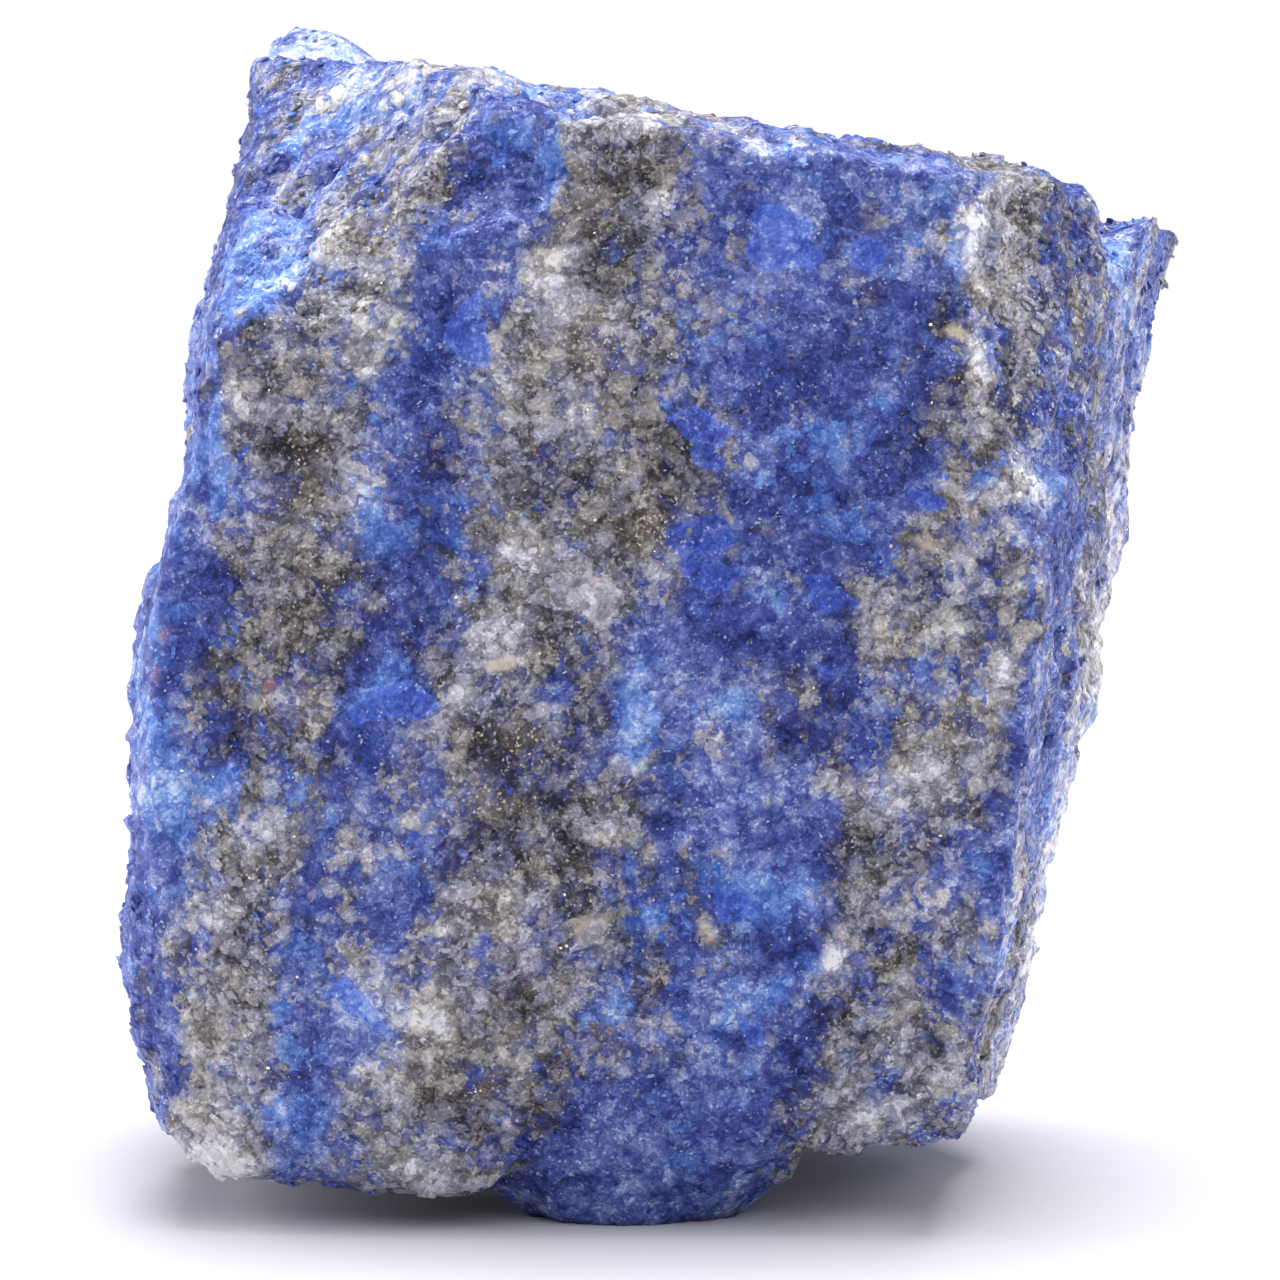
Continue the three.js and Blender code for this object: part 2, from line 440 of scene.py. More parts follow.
    def front_scarps(self, points: np.ndarray) -> np.ndarray:
        """The steps of the front face, along lines that wander a little."""
        wander_x, wander_z = (
            self.scarp_wander * rough(points, self.scarp_wander_size, seed, 2)
            for seed in self.scarp_seeds
        )
        x, z = points[:, 0] + wander_x, points[:, 2] + wander_z
        near_front = climb(points[:, 1], self.scarp_front)
        return near_front * sum(scarp.rise(x, z) for scarp in self.scarps)

    def surface(self, directions: np.ndarray) -> np.ndarray:
        """The point where each line from the heart leaves the stone.

        Args:
            directions: unit vectors, n by 3.

        Returns:
            n by 3 points: heart + direction * reach. The reach is the least of flanks, crown,
            underside and hollows, plus the relief there, and stops at the floor, z = 0.
        """
        heart = np.array(self.heart)
        block = reduce(
            self.worn,
            (
                self.lobe(directions, self.flanks),
                self.largest(directions, self.crown),
                self.largest(directions, self.underside),
            ),
        )
        wander = self.rim_height * swell(
            heart + directions * block[:, None], self.rim_size, self.rim_seed
        )
        bite = reduce(np.minimum, (h.reach(directions, heart) for h in self.hollows))
        bitten = self.worn(block, bite + wander)
        broken = bitten + self.relief(heart + directions * bitten[:, None])
        down = np.minimum(directions[:, 2], -LEVEL)
        ground = np.where(directions[:, 2] < -LEVEL, -heart[2] / down, FOREVER)
        points = heart + directions * np.minimum(broken, ground)[:, None]
        points[broken >= ground, 2] = 0.0
        return points


@dataclass(frozen=True)
class BoxGrid:
    """A closed grid over the six sides of a box, from which the lines to the surface start."""

    size: tuple[float, float, float] = (42.0, 33.0, 46.0)
    steps: tuple[int, int, int] = (128, 108, 148)
    chart_gap: float = 0.6
    shake: float = 0.56
    shake_seed: int = 501

    def corners(self) -> np.ndarray:
        """The grid's points, n by 3, each once, shaken by up to half of `shake` steps."""
        steps = np.array(self.steps)
        index = np.argwhere(self._on_surface()).astype(float)
        index += self.shake * (scatter_vector(index, self.shake_seed) - 0.5)
        return (index / steps - 0.5) * np.array(self.size)

    def sprinkled(self, random: np.random.Generator, count: int) -> np.ndarray:
        """Unit vectors towards points that are spread evenly over the box's six sides.

        Args:
            random: where the numbers come from.
            count: how many vectors.

        Returns:
            count by 3.
        """
        size = np.array(self.size)
        areas = np.prod(size) / size
        axis = random.choice(3, count, p=areas / areas.sum())
        spots = random.random((count, 3)) - 0.5
        spots[np.arange(count), axis] = np.where(random.random(count) < 0.5, -0.5, 0.5)
        spots *= size
        return spots / np.linalg.norm(spots, axis=1)[:, None]

    def _on_surface(self) -> np.ndarray:
        """Which points of the full lattice lie on the box's surface."""
        inside = np.ones([n - 1 for n in self.steps], bool)
        return ~np.pad(inside, 1)

    def quads_and_charts(self) -> tuple[np.ndarray, np.ndarray]:
        """The grid's faces and where they lie on the stone's own flat map.

        Returns:
            Corner indices, m by 4, wound outwards, and map places, m by 4 by 2. Each side of
            the box is one chart, and the six charts lie in two rows that fill the map.
        """
        on = self._on_surface()
        number = np.full(on.shape, -1)
        number[on] = np.arange(on.sum())
        width, depth, height = self.size
        total = 2 * width + depth + 4 * self.chart_gap
        rows = height + depth + 3 * self.chart_gap
        edge = self.chart_gap
        upper = edge + height + self.chart_gap
        middle = edge + width + self.chart_gap
        right = edge + 2 * (width + self.chart_gap)
        layout = (
            (1, 0, edge, edge),
            (1, -1, middle, edge),
            (0, 0, right, edge),
            (2, 0, edge, upper),
            (2, -1, middle, upper),
            (0, -1, right, upper),
        )
        quads, places = [], []
        for axis, end, left, low in layout:
            sheet = np.take(number, end, axis)
            a, b = sheet[:-1, :-1], sheet[1:, :-1]
            c, d = sheet[1:, 1:], sheet[:-1, 1:]
            spans = [s for i, s in enumerate(self.size) if i != axis]
            if axis == 0 and end == -1:
                spans = [depth, depth]  # squeezed, because the second row is only so high
            i, j = np.meshgrid(
                *(np.arange(n + 1) / n for n in np.array(sheet.shape) - 1), indexing="ij"
            )
            u = (left + i * spans[0]) / total
            v = (low + j * spans[1]) / rows
            spot = np.stack([u, v], -1)
            order = (a, b, c, d)
            spots = (spot[:-1, :-1], spot[1:, :-1], spot[1:, 1:], spot[:-1, 1:])
            if (end == 0) == (axis != 1):
                order, spots = order[::-1], spots[::-1]
            quads.append(np.stack([o.ravel() for o in order], -1))
            places.append(np.stack([s.reshape(-1, 2) for s in spots], 1))
        return np.concatenate(quads), np.concatenate(places)


# ------------------------------------------------------------------------------- what lies where


class Mineral(Enum):
    """What a patch or flake of the stone is made of."""

    CHARCOAL = "dark grey, full of pyrite"
    CHALK = "pale calcite"
    AZURE = "light blue lazurite"
    NAVY = "deep blue lazurite"
    GOLD = "pyrite dust"
    CREAM = "warm white calcite"
    RUST = "an iron stain"


@dataclass(frozen=True)
class Band:
    """A leaning grey or pale bed: places (height, centre, half width) down the front face."""

    course: tuple[tuple[float, float, float], ...]
    dip: float
    strength: float = 1.0

    def weight(self, x: np.ndarray, depth: np.ndarray, z: np.ndarray) -> np.ndarray:
        """Full in the middle of the bed and half at its edge: strength / (1 + (d / w)^4).

        Args:
            x: across the stone.
            depth: how far behind the front face, over which the bed shifts by `dip`.
            z: up the stone.

        Returns:
            One weight for each point.
        """
        heights, centres, widths = np.array(sorted(self.course)).T
        centre = np.interp(z, heights, centres) + self.dip * depth
        width = np.interp(z, heights, widths)
        return self.strength / (1 + ((x - centre) / width) ** 4)


@dataclass(frozen=True)
class Patch:
    """A soft spot of the front face: its middle (x, z), half length, half width and turn."""

    mineral: Mineral
    middle: tuple[float, float]
    length: float
    width: float
    turn: float = 0.0

    def weight(self, x: np.ndarray, z: np.ndarray) -> np.ndarray:
        """exp(-d^2), with d measured in half lengths and half widths."""
        c, s = math.cos(math.radians(self.turn)), math.sin(math.radians(self.turn))
        dx, dz = x - self.middle[0], z - self.middle[1]
        along, across = dx * c + dz * s, dz * c - dx * s
        return np.exp(-((along / self.length) ** 2 + (across / self.width) ** 2))


def patches_of(mineral: Mineral, *spots: tuple) -> tuple[Patch, ...]:
    """Patches of one mineral, each spot giving the rest of what a Patch holds, in order."""
    return tuple(Patch(mineral, *spot) for spot in spots)


@dataclass(frozen=True)
class Flake:
    """A cleaved flake with a crisp outline, given by its corners (x, z) in order."""

    mineral: Mineral
    outline: tuple[tuple[float, float], ...]
    tone: float

    def depth_inside(self, x: np.ndarray, z: np.ndarray) -> np.ndarray:
        """How far inside the outline each point lies, or minus how far outside."""
        corners = np.array(self.outline)
        nearest = np.full(len(x), FOREVER)
        inside = np.zeros(len(x), bool)
        for (ax, az), (bx, bz) in zip(corners, np.roll(corners, -1, 0)):
            ex, ez = bx - ax, bz - az
            t = np.clip(((x - ax) * ex + (z - az) * ez) / (ex * ex + ez * ez), 0, 1)
            nearest = np.minimum(nearest, np.hypot(x - ax - t * ex, z - az - t * ez))
            crosses = (az > z) != (bz > z)
            inside ^= crosses & (x < ax + (z - az) * ex / (ez if ez else LEVEL))
        return np.where(inside, nearest, -nearest)


@dataclass(frozen=True)
class Region:
    """A soft egg-shaped part of the stone with a lighter, darker, greyer or bluer mix of grains.
    On the peak, the top, the edges and the right side the extra lightness is painted light, where
    light falls strongly or is thrown up from the floor.
    """

    middle: tuple[float, float, float]
    radii: tuple[float, float, float]
    light: float
    grey: float
    azure: float = 0.0

    def weight(self, points: np.ndarray) -> np.ndarray:
        """exp(-d^2), with d measured in radii."""
        away = (points - np.array(self.middle)) / np.array(self.radii)
        return np.exp(-(away**2).sum(1))


@dataclass(frozen=True)
class Knobs:
    """A coat of round grains that stand out of the surface. Their `shade` paints the gaps between
    them darker, as painted shade, and their tops lighter, as painted light.
    """

    size: float
    height: float
    shade: float
    seed: int
    least_radius: float = 0.45
    radius_spread: float = 0.45

    def domes(self, points: np.ndarray) -> np.ndarray:
        """From 0 in a gap to 1 on a grain: 1 - (d / r)^2, with a radius for each grain."""
        highest = np.zeros(len(points))
        for cell, offset in seeds_around(points, self.size, self.seed):
            radius = self.least_radius + self.radius_spread * scatter(cell, self.seed + 9)
            highest = np.maximum(highest, 1 - (offset**2).sum(1) / radius**2)
        return highest


@dataclass(frozen=True)
class Zones:
    """Where each mineral lies in the stone, and where light and shade are painted on it."""

    bands: tuple[Band, ...] = (
        Band(
            (
                (48, -9.5, 2.0), (43, -11.2, 2.6), (40, -12.2, 2.6), (36, -13.3, 2.9),
                (32, -13.8, 2.9), (28, -14.7, 3.0), (24, -15.4, 2.9), (20, -15.1, 2.5),
                (16, -15.7, 2.0), (12, -17.2, 2.0), (8, -16.8, 2.0), (3, -17.3, 1.8),
            ),
            0.10,
        ),
        Band(
            (
                (48, -0.6, 2.2), (43, -1.4, 2.8), (40, -2.0, 2.7), (36, -2.5, 3.1),
                (32, -2.4, 3.8), (28, -3.2, 3.5), (24, -5.0, 3.2), (20, -4.8, 3.5),
                (16, -5.0, 3.7), (12, -5.2, 3.7), (8, -6.6, 3.5), (5, -8.2, 3.4),
                (1, -9.0, 2.6),
            ),
            0.16,
        ),
        Band(
            (
                (46, 15.4, 2.2), (40, 15.3, 2.8), (36, 13.9, 2.2), (32, 13.8, 2.4),
                (28, 12.9, 3.1), (24, 12.6, 3.6), (20, 11.8, 3.2), (16, 10.6, 2.9),
                (12, 10.4, 3.0), (8, 10.4, 3.2), (5, 9.6, 3.6), (1, 7.4, 2.2),
            ),
            -0.12,
            0.86,
        ),
    )
    # A pale calcite bed down the right side that is also painted light: it stands in for the
    # bright right edge.
    pale_bed_and_edge_light: Band = Band(
        ((40, 24.8, 0.5), (33, 22.4, 0.9), (24, 20.3, 1.4), (12, 17.9, 1.5), (2, 15.7, 1.3)), 0.0
    )
    patches: tuple[Patch, ...] = (
        *patches_of(
            Mineral.CHARCOAL,
            ((-0.9, 44.0), 2.2, 1.6),
            ((-1.6, 41.2), 1.6, 1.3),
            ((1.0, 37.6), 1.0, 2.0),
            ((1.0, 33.0), 1.0, 1.4),
            ((-0.2, 30.6), 1.8, 0.9),
            ((-14.6, 33.0), 1.5, 1.0),
            ((-13.4, 30.2), 1.0, 1.2),
            ((-13.2, 26.2), 1.8, 1.0),
            ((-10.2, 43.2), 1.6, 1.0),
            ((-8.0, 45.4), 0.9, 0.5),
            ((-11.6, 23.9), 0.9, 0.8),
            ((-5.9, 20.9), 1.1, 1.3),
            ((-3.6, 18.4), 1.6, 0.7),
            ((-1.9, 23.4), 1.2, 1.5),
            ((-16.9, 21.6), 0.7, 1.3),
            ((-8.4, 5.6), 1.6, 0.8, 25),
            ((9.6, 15.0), 0.5, 0.5),
            ((8.2, 13.3), 0.5, 0.4),
            ((7.9, 8.9), 0.6, 0.6),
            ((17.3, 41.9), 0.8, 0.3),
            ((7.6, 30.8), 1.6, 0.6, -8),
            ((4.9, 29.8), 0.9, 0.5),
            ((12.4, 38.3), 1.4, 0.9),
            ((0.3, 1.6), 1.2, 0.7),
            ((10.9, 22.6), 0.8, 0.7),
            ((10.4, 20.9), 1.0, 0.7),
        ),
        *patches_of(
            Mineral.CHALK,
            ((-2.0, 27.0), 1.5, 1.0),
            ((-4.6, 28.2), 1.4, 0.8),
            ((-6.3, 25.2), 1.4, 0.9, 40),
            ((-7.6, 22.9), 0.7, 0.7),
            ((-5.6, 14.4), 1.7, 0.9, 20),
            ((-7.8, 13.0), 1.3, 1.0),
            ((-8.6, 9.2), 1.1, 0.6, -15),
            ((-9.4, 2.7), 2.4, 0.8, -10),
            ((-17.4, 3.0), 1.6, 0.8, -35),
            ((-14.6, 17.4), 0.9, 0.7),
            ((-17.2, 13.5), 1.0, 0.5, 25),
            ((-1.0, 17.3), 0.9, 0.8),
            ((9.4, 18.6), 1.0, 1.3, 50),
            ((11.0, 19.4), 1.6, 0.6, 10),
            ((8.0, 12.0), 0.5, 1.5, -20),
            ((10.4, 5.3), 3.2, 0.6, 22),
            ((14.0, 36.6), 0.5, 2.6, -3),
            ((13.6, 41.6), 0.5, 1.5, -15),
            ((15.3, 31.2), 1.3, 0.7),
            ((-12.6, 41.4), 1.9, 0.6, 28),
            ((-13.8, 40.3), 2.6, 0.5, 20),
            ((-11.2, 45.6), 1.3, 0.7),
            ((-14.9, 46.9), 1.4, 0.9),
            ((-3.6, 40.0), 0.7, 1.3),
            ((-3.1, 38.7), 0.8, 0.8),
            ((-16.0, 34.6), 0.8, 1.0),
            ((4.4, 45.0), 0.6, 0.9, -40),
            ((0.6, 42.6), 0.7, 0.9),
        ),
        *patches_of(
            Mineral.AZURE,
            ((-16.4, 38.9), 1.6, 0.9, 15),
            ((-17.4, 32.4), 0.4, 2.6, -4),
            ((-19.5, 18.6), 0.9, 2.4),
            ((-17.2, 18.6), 0.8, 0.9),
            ((-11.0, 29.6), 1.0, 1.2),
            ((-5.2, 45.4), 0.9, 0.8),
            ((-3.3, 45.4), 0.4, 1.1, -10),
            ((-10.4, 23.4), 1.3, 0.9),
            ((-0.2, 22.0), 0.7, 1.8),
            ((0.2, 13.3), 1.1, 0.8),
            ((5.4, 14.6), 2.1, 1.2, -10),
            ((4.8, 10.6), 2.2, 0.9, 20),
            ((-1.2, 9.8), 0.9, 0.9),
            ((-11.8, 9.6), 1.8, 0.8, -38),
            ((-15.0, 5.2), 1.4, 0.8),
            ((-15.2, 9.0), 0.5, 1.2),
            ((12.8, 41.2), 0.5, 1.1, -15),
            ((3.4, 22.6), 0.9, 0.6),
            ((7.4, 33.2), 1.6, 0.5, -10),
        ),
        *patches_of(
            Mineral.NAVY,
            ((-7.9, 41.3), 1.1, 1.2),
            ((-8.6, 38.6), 0.8, 1.2),
            ((-8.8, 35.2), 1.1, 1.8),
            ((-8.4, 31.0), 1.1, 2.0),
            ((-6.6, 43.8), 1.0, 0.8),
            ((8.0, 42.4), 1.6, 0.6, -18),
            ((6.0, 44.0), 2.6, 0.7, -8),
            ((3.6, 31.3), 1.1, 0.6, -30),
            ((9.0, 28.9), 2.4, 0.6, -32),
            ((4.2, 25.4), 2.2, 1.3),
            ((8.0, 24.6), 0.9, 1.6),
            ((6.6, 21.2), 1.6, 1.2),
            ((11.3, 35.2), 0.9, 2.2),
            ((4.4, 36.8), 2.4, 1.2),
            ((-11.2, 21.2), 1.2, 0.9),
            ((-9.6, 14.6), 0.7, 1.4),
            ((-13.6, 8.4), 1.6, 0.8, -20),
            ((-3.6, 23.4), 0.8, 0.9),
            ((-19.0, 24.6), 1.0, 1.4),
            ((7.0, 7.2), 0.9, 1.2),
            ((2.6, 4.0), 3.4, 2.0),
            ((6.2, 12.4), 1.0, 1.2, 30),
            ((12.2, 9.6), 1.0, 1.4),
        ),
        *patches_of(
            Mineral.GOLD,
            ((-8.6, 47.4), 1.3, 0.9),
            ((-2.6, 42.4), 1.2, 1.6),
            ((-2.6, 36.8), 2.0, 1.6),
            ((-13.4, 30.4), 0.8, 1.0),
            ((-5.9, 24.1), 0.6, 0.4),
            ((-6.2, 18.2), 1.2, 1.0),
            ((-5.2, 20.8), 1.2, 1.0),
            ((0.6, 29.6), 1.6, 1.2),
            ((12.0, 29.2), 0.8, 0.5),
            ((13.0, 37.6), 0.9, 0.5),
            ((-15.4, 15.2), 0.8, 0.9),
            ((-11.0, 41.0), 1.6, 0.8),
            ((-6.9, 6.3), 0.8, 0.6),
            ((13.0, 22.0), 1.6, 1.6),
            ((1.2, 8.6), 0.9, 0.4),
            ((3.6, 46.4), 1.2, 0.5),
        ),
        *patches_of(
            Mineral.CREAM,
            ((-2.2, 12.8), 1.0, 0.6, 40),
            ((3.2, 16.6), 0.5, 0.4, -40),
            ((12.9, 37.7), 0.8, 0.4, -20),
            ((12.0, 29.3), 0.7, 0.4, -20),
            ((-5.9, 24.2), 0.5, 0.3),
            ((2.7, 13.0), 0.4, 0.7),
            ((10.6, 46.0), 0.7, 0.2, -20),
        ),
        *patches_of(
            Mineral.RUST,
            ((-15.7, 45.4), 0.14, 0.26),
            ((-19.9, 25.0), 0.20, 0.30),
            ((-20.2, 23.4), 0.14, 0.22),
            ((-14.9, 23.2), 0.10, 0.26),
            ((-2.0, 27.6), 0.12, 0.14),
            ((-9.9, 30.0), 0.20, 0.10),
        ),
    )
    flakes: tuple[Flake, ...] = (
        Flake(
            Mineral.AZURE,
            (
                (4.3, 42.4), (4.9, 42.9), (5.6, 42.95), (6.4, 42.5), (7.1, 42.1),
                (7.1, 41.7), (6.6, 41.4), (7.5, 40.9), (7.6, 40.5), (6.9, 40.2),
                (5.5, 40.3), (4.9, 40.0), (4.3, 40.9), (4.6, 41.7),
            ),
            0.6,
        ),
        Flake(
            Mineral.AZURE,
            ((8.4, 41.2), (9.2, 41.6), (9.9, 41.3), (10.1, 40.6), (9.4, 39.9), (8.6, 40.2)),
            0.45,
        ),
        Flake(
            Mineral.AZURE,
            (
                (0.9, 34.2), (2.3, 34.7), (3.1, 34.2), (3.8, 33.8), (3.7, 33.3),
                (2.9, 32.9), (2.0, 33.2), (1.5, 33.8),
            ),
            0.85,
        ),
        Flake(
            Mineral.AZURE,
            ((1.9, 33.0), (2.9, 33.0), (3.6, 32.3), (3.1, 31.9), (2.3, 32.2)),
            0.7,
        ),
        Flake(
            Mineral.AZURE,
            (
                (1.1, 29.7), (1.8, 29.9), (3.1, 30.3), (3.8, 29.7), (3.9, 28.9),
                (3.0, 28.6), (2.0, 28.3), (1.0, 28.9),
            ),
            0.55,
        ),
        Flake(
            Mineral.AZURE,
            ((1.6, 28.2), (3.2, 28.3), (4.4, 27.9), (3.5, 27.0), (2.0, 27.4)),
            0.4,
        ),
        Flake(
            Mineral.AZURE,
            (
                (-8.0, 37.9), (-7.4, 38.6), (-6.5, 39.4), (-6.4, 38.2), (-6.0, 37.0),
                (-6.0, 36.2), (-6.7, 36.3), (-7.3, 36.5), (-7.9, 37.2),
            ),
            0.8,
        ),
        Flake(
            Mineral.AZURE,
            ((6.6, 27.6), (7.5, 27.6), (8.5, 27.0), (9.3, 26.5), (8.6, 26.2), (7.3, 26.1)),
            0.4,
        ),
        Flake(
            Mineral.AZURE,
            ((10.6, 31.4), (11.6, 31.2), (12.6, 30.8), (12.3, 30.3), (11.2, 30.5)),
            0.45,
        ),
        Flake(
            Mineral.AZURE,
            (
                (-10.9, 23.3), (-9.5, 23.4), (-8.6, 22.9), (-8.0, 22.3), (-8.9, 21.8),
                (-10.2, 22.0), (-11.6, 21.5), (-12.1, 22.3), (-11.4, 22.6),
            ),
            0.9,
        ),
        Flake(
            Mineral.AZURE,
            (
                (-13.2, 10.9), (-12.0, 11.0), (-11.2, 10.2), (-10.2, 8.8), (-9.7, 8.2),
                (-10.8, 8.5), (-11.9, 9.3), (-12.9, 10.2),
            ),
            0.6,
        ),
        Flake(
            Mineral.AZURE,
            ((3.2, 14.6), (4.2, 14.7), (4.9, 14.0), (4.3, 13.3), (3.4, 13.3), (3.1, 14.0)),
            0.6,
        ),
        Flake(Mineral.AZURE, ((4.0, 9.2), (5.0, 8.9), (5.2, 8.2), (4.3, 8.1)), 0.55),
        Flake(Mineral.AZURE, ((7.1, 24.2), (7.9, 24.0), (8.1, 23.3), (7.4, 23.4)), 0.5),
        Flake(
            Mineral.CREAM,
            ((-3.0, 12.1), (-2.4, 13.2), (-1.6, 13.7), (-1.2, 13.3), (-1.6, 12.5)),
            0.8,
        ),
        Flake(
            Mineral.CHALK,
            (
                (-3.8, 27.8), (-2.2, 27.7), (-0.8, 27.3), (-0.4, 26.7), (-1.0, 26.0),
                (-1.9, 25.5), (-2.3, 26.2), (-3.6, 26.2),
            ),
            0.5,
        ),
        Flake(Mineral.CHALK, ((-8.9, 9.2), (-8.2, 9.7), (-7.9, 9.0), (-8.3, 8.8)), 0.9),
        Flake(Mineral.CHALK, ((2.9, 21.6), (3.2, 21.9), (3.8, 21.7), (3.5, 21.5)), 1.0),
        Flake(Mineral.CHALK, ((2.2, 20.9), (3.0, 21.1), (3.7, 21.1), (3.4, 20.8)), 1.0),
    )
    regions: tuple[Region, ...] = (
        # Painted highlight: the far peak of the top is lightened almost to white, where light
        # falls on it.
        Region((-16, 13, 49), (8, 7, 5), 1.6, 0.0, 0.4),
        # Painted highlight along the upper left edge of the top.
        Region((-15, -7, 47.5), (5, 5, 2.5), 1.2, 0.1, 0.2),
        Region((18.6, -11, 34), (1.6, 4, 8), -0.8, -0.1, 0.1),
        Region((15.5, -11, 12), (2, 4, 10), 0.7, 0.3),
        # Painted light: the top strip is lightened where the light from above falls.
        Region((2, -9.5, 48), (17, 5.5, 2.2), 0.9, 0.0, 0.2),
        Region((-14, -11, 44.5), (7, 4.5, 5), 0.6, -0.05, 0.2),
        Region((12, -15, 20), (4, 3, 8), 0.25, -0.1),
        # Painted light: the lower right side is lightened where light from the right and behind
        # falls.
        Region((19, 4, 13), (3.5, 12, 13), 1.05, 0.35),
        # Painted light: the upper right side is lightened where light from the right and behind
        # falls.
        Region((21, 0, 36), (4, 12, 8), 0.5, 0.1, 0.1),
        # Partly paler calcite, partly painted light: the low left edge is lightened as if by light
        # thrown up from the floor.
        Region((-19.5, -13, 2.4), (2.5, 3, 1.8), 3.1, 0.4),
        # Bluer grains, and painted light: the left edge is lightened where light from the side
        # catches it.
        Region((-21, -8, 28), (2.5, 8, 16), 0.9, -0.4, 0.45),
        Region((1, -14, 3), (5, 4, 2.6), 0.2, -0.6, 0.15),
        Region((6, -15, 41), (5, 4, 4), 0.6, 0.05),
        Region((-8.8, -15, 33.5), (2, 4, 5), -0.5, 0.0),
        Region((-15, -14, 30), (3, 4, 3), 0.5, 0.25),
    )
    knobs: tuple[Knobs, ...] = (
        Knobs(2.1, 0.16, 0.25, 409),
        Knobs(1.25, 0.12, 0.40, 421),
        Knobs(0.72, 0.06, 0.35, 433),
    )
    front_depth: float = -15.0
    front_reach: float = 5.5
    streak: float = 0.6
    flake_rise: float = 0.17
    flake_edge: float = 0.4
    flake_calm: float = 0.7
    flake_wander: float = 0.10
    flake_wander_size: float = 0.5
    flake_seeds: tuple[int, int] = (321, 341)
    off_flakes: float = -2.0
    knob_level: float = 0.4
    knobby: float = 0.15
    knobby_in_grey: float = 0.55
    knobby_per_depth: float = 0.40
    knobby_depth: float = 0.9
    knobby_limit: float = 0.4
    knobby_limit_near: float = 0.35
    near_span: tuple[float, float] = (12.0, 6.0)
    grey_mosaics: tuple[tuple[float, float], ...] = ((2.9, 0.35), (1.7, 0.45), (0.9, 0.45))
    light_mosaics: tuple[tuple[float, float], ...] = ((2.4, 0.8), (1.1, 0.8))

    def named(self, mineral: Mineral, x: np.ndarray, z: np.ndarray) -> np.ndarray:
        """The greatest weight of any patch of one mineral, for each point."""
        chosen = [p.weight(x, z) for p in self.patches if p.mineral is mineral]
        return reduce(np.maximum, chosen)

    def coarse(self, points: np.ndarray) -> np.ndarray:
        """How knobby the stone is: least on the front's blue beds, most just behind them."""
        depth = points[:, 1] - self.front_depth
        x, z = points[:, 0], points[:, 2]
        grey = reduce(np.maximum, (b.weight(x, depth, z) for b in self.bands))
        most = self.knobby_limit + self.knobby_limit_near * climb(depth, self.near_span)
        behind = self.knobby_per_depth * (depth - self.knobby_depth)
        return np.clip(self.knobby + self.knobby_in_grey * grey + behind, 0, most)

    def flakes_near(self, points: np.ndarray) -> tuple[np.ndarray, np.ndarray]:
        """How deep each point lies inside its nearest flake's outline, and which flake it is.

        Args:
            points: n by 3.

        Returns:
            n depths in millimetres, less than 0 outside and -2 off the front, and n indices.
        """
        wander_x, wander_z = (
            self.flake_wander * swell(points, self.flake_wander_size, seed)
            for seed in self.flake_seeds
        )
        x, z = points[:, 0] + wander_x, points[:, 2] + wander_z
        inside = np.array([f.depth_inside(x, z) for f in self.flakes])
        near_front = points[:, 1] < self.front_depth + self.front_reach
        return np.where(near_front, inside.max(0), self.off_flakes), inside.argmax(0)

    def lumps(self, points: np.ndarray) -> np.ndarray:
        """How far the knobs and the flakes stand out, in millimetres.

        The knobs are faint on a flake, which rises over 0.4 mm at its outline.
        """
        knobs = sum(
            coat.height * (coat.domes(points) - self.knob_level) for coat in self.knobs
        )
        plate = np.clip(self.flakes_near(points)[0] / self.flake_edge + 0.5, 0, 1)
        calm = 1 - self.flake_calm * plate
        return self.coarse(points) * knobs * calm + self.flake_rise * plate

    def fields(self, points: np.ndarray) -> dict[str, np.ndarray]:
        """The numbers that the finish reads at each point of the surface.

        Args:
            points: n by 3.

        Returns:
            grey: how much of the stone is calcite, with 0.5 at a bed's edge.
            light: the grains' lightness, from about -1, dark, to 1, pale, with painted light and
                shade from the regions, the pale bed and the knobs.
            azure: how light blue the lazurite is.
            gold: how thick the pyrite lies.
            warm, rust: cream calcite and iron stains.
            coarse: how knobby the stone is.
            flake, flake_tone, flake_blue: depth inside a flake's outline, its own
            lightness, and whether it is lazurite.
        """
        wobble_x = 0.65 * rough(points, 2.4, 101) + 0.25 * swell(points, 0.8, 131)
        wobble_z = 0.65 * rough(points, 2.4, 151) + 0.25 * swell(points, 0.8, 171)
        x, z = points[:, 0] + wobble_x, points[:, 2] + wobble_z
        depth = points[:, 1] - self.front_depth
        front = np.clip((self.front_reach - depth) / 3.5, 0, 1)
        elsewhere = 1 - front
        bend = 2.6 * rough(points + 40, 14, 201, 2) * np.clip(depth / 9, 0, 1)
        grey = reduce(np.maximum, (b.weight(x + bend, depth, z) for b in self.bands))
        grey = 0.20 + 0.63 * grey + elsewhere * 0.40 * rough(points, 9.0, 241, 2)
        streaks = bedded(points, self.streak)
        for size, amount in self.grey_mosaics:
            grey += amount * mosaic(streaks, size, 221 + size, 22.0)
        weights = {m: front * self.named(m, x, z) for m in Mineral}
        grey += 0.35 * weights[Mineral.CHALK] + 0.15 * weights[Mineral.CHARCOAL]
        grey += 0.6 * weights[Mineral.CREAM]
        grey -= 0.40 * weights[Mineral.AZURE] + 0.40 * weights[Mineral.NAVY]
        light = 1.8 * weights[Mineral.CHALK] - 0.9 * weights[Mineral.CHARCOAL]
        light += 0.8 * weights[Mineral.AZURE] - 0.9 * weights[Mineral.NAVY]
        light += 0.8 * weights[Mineral.CREAM]
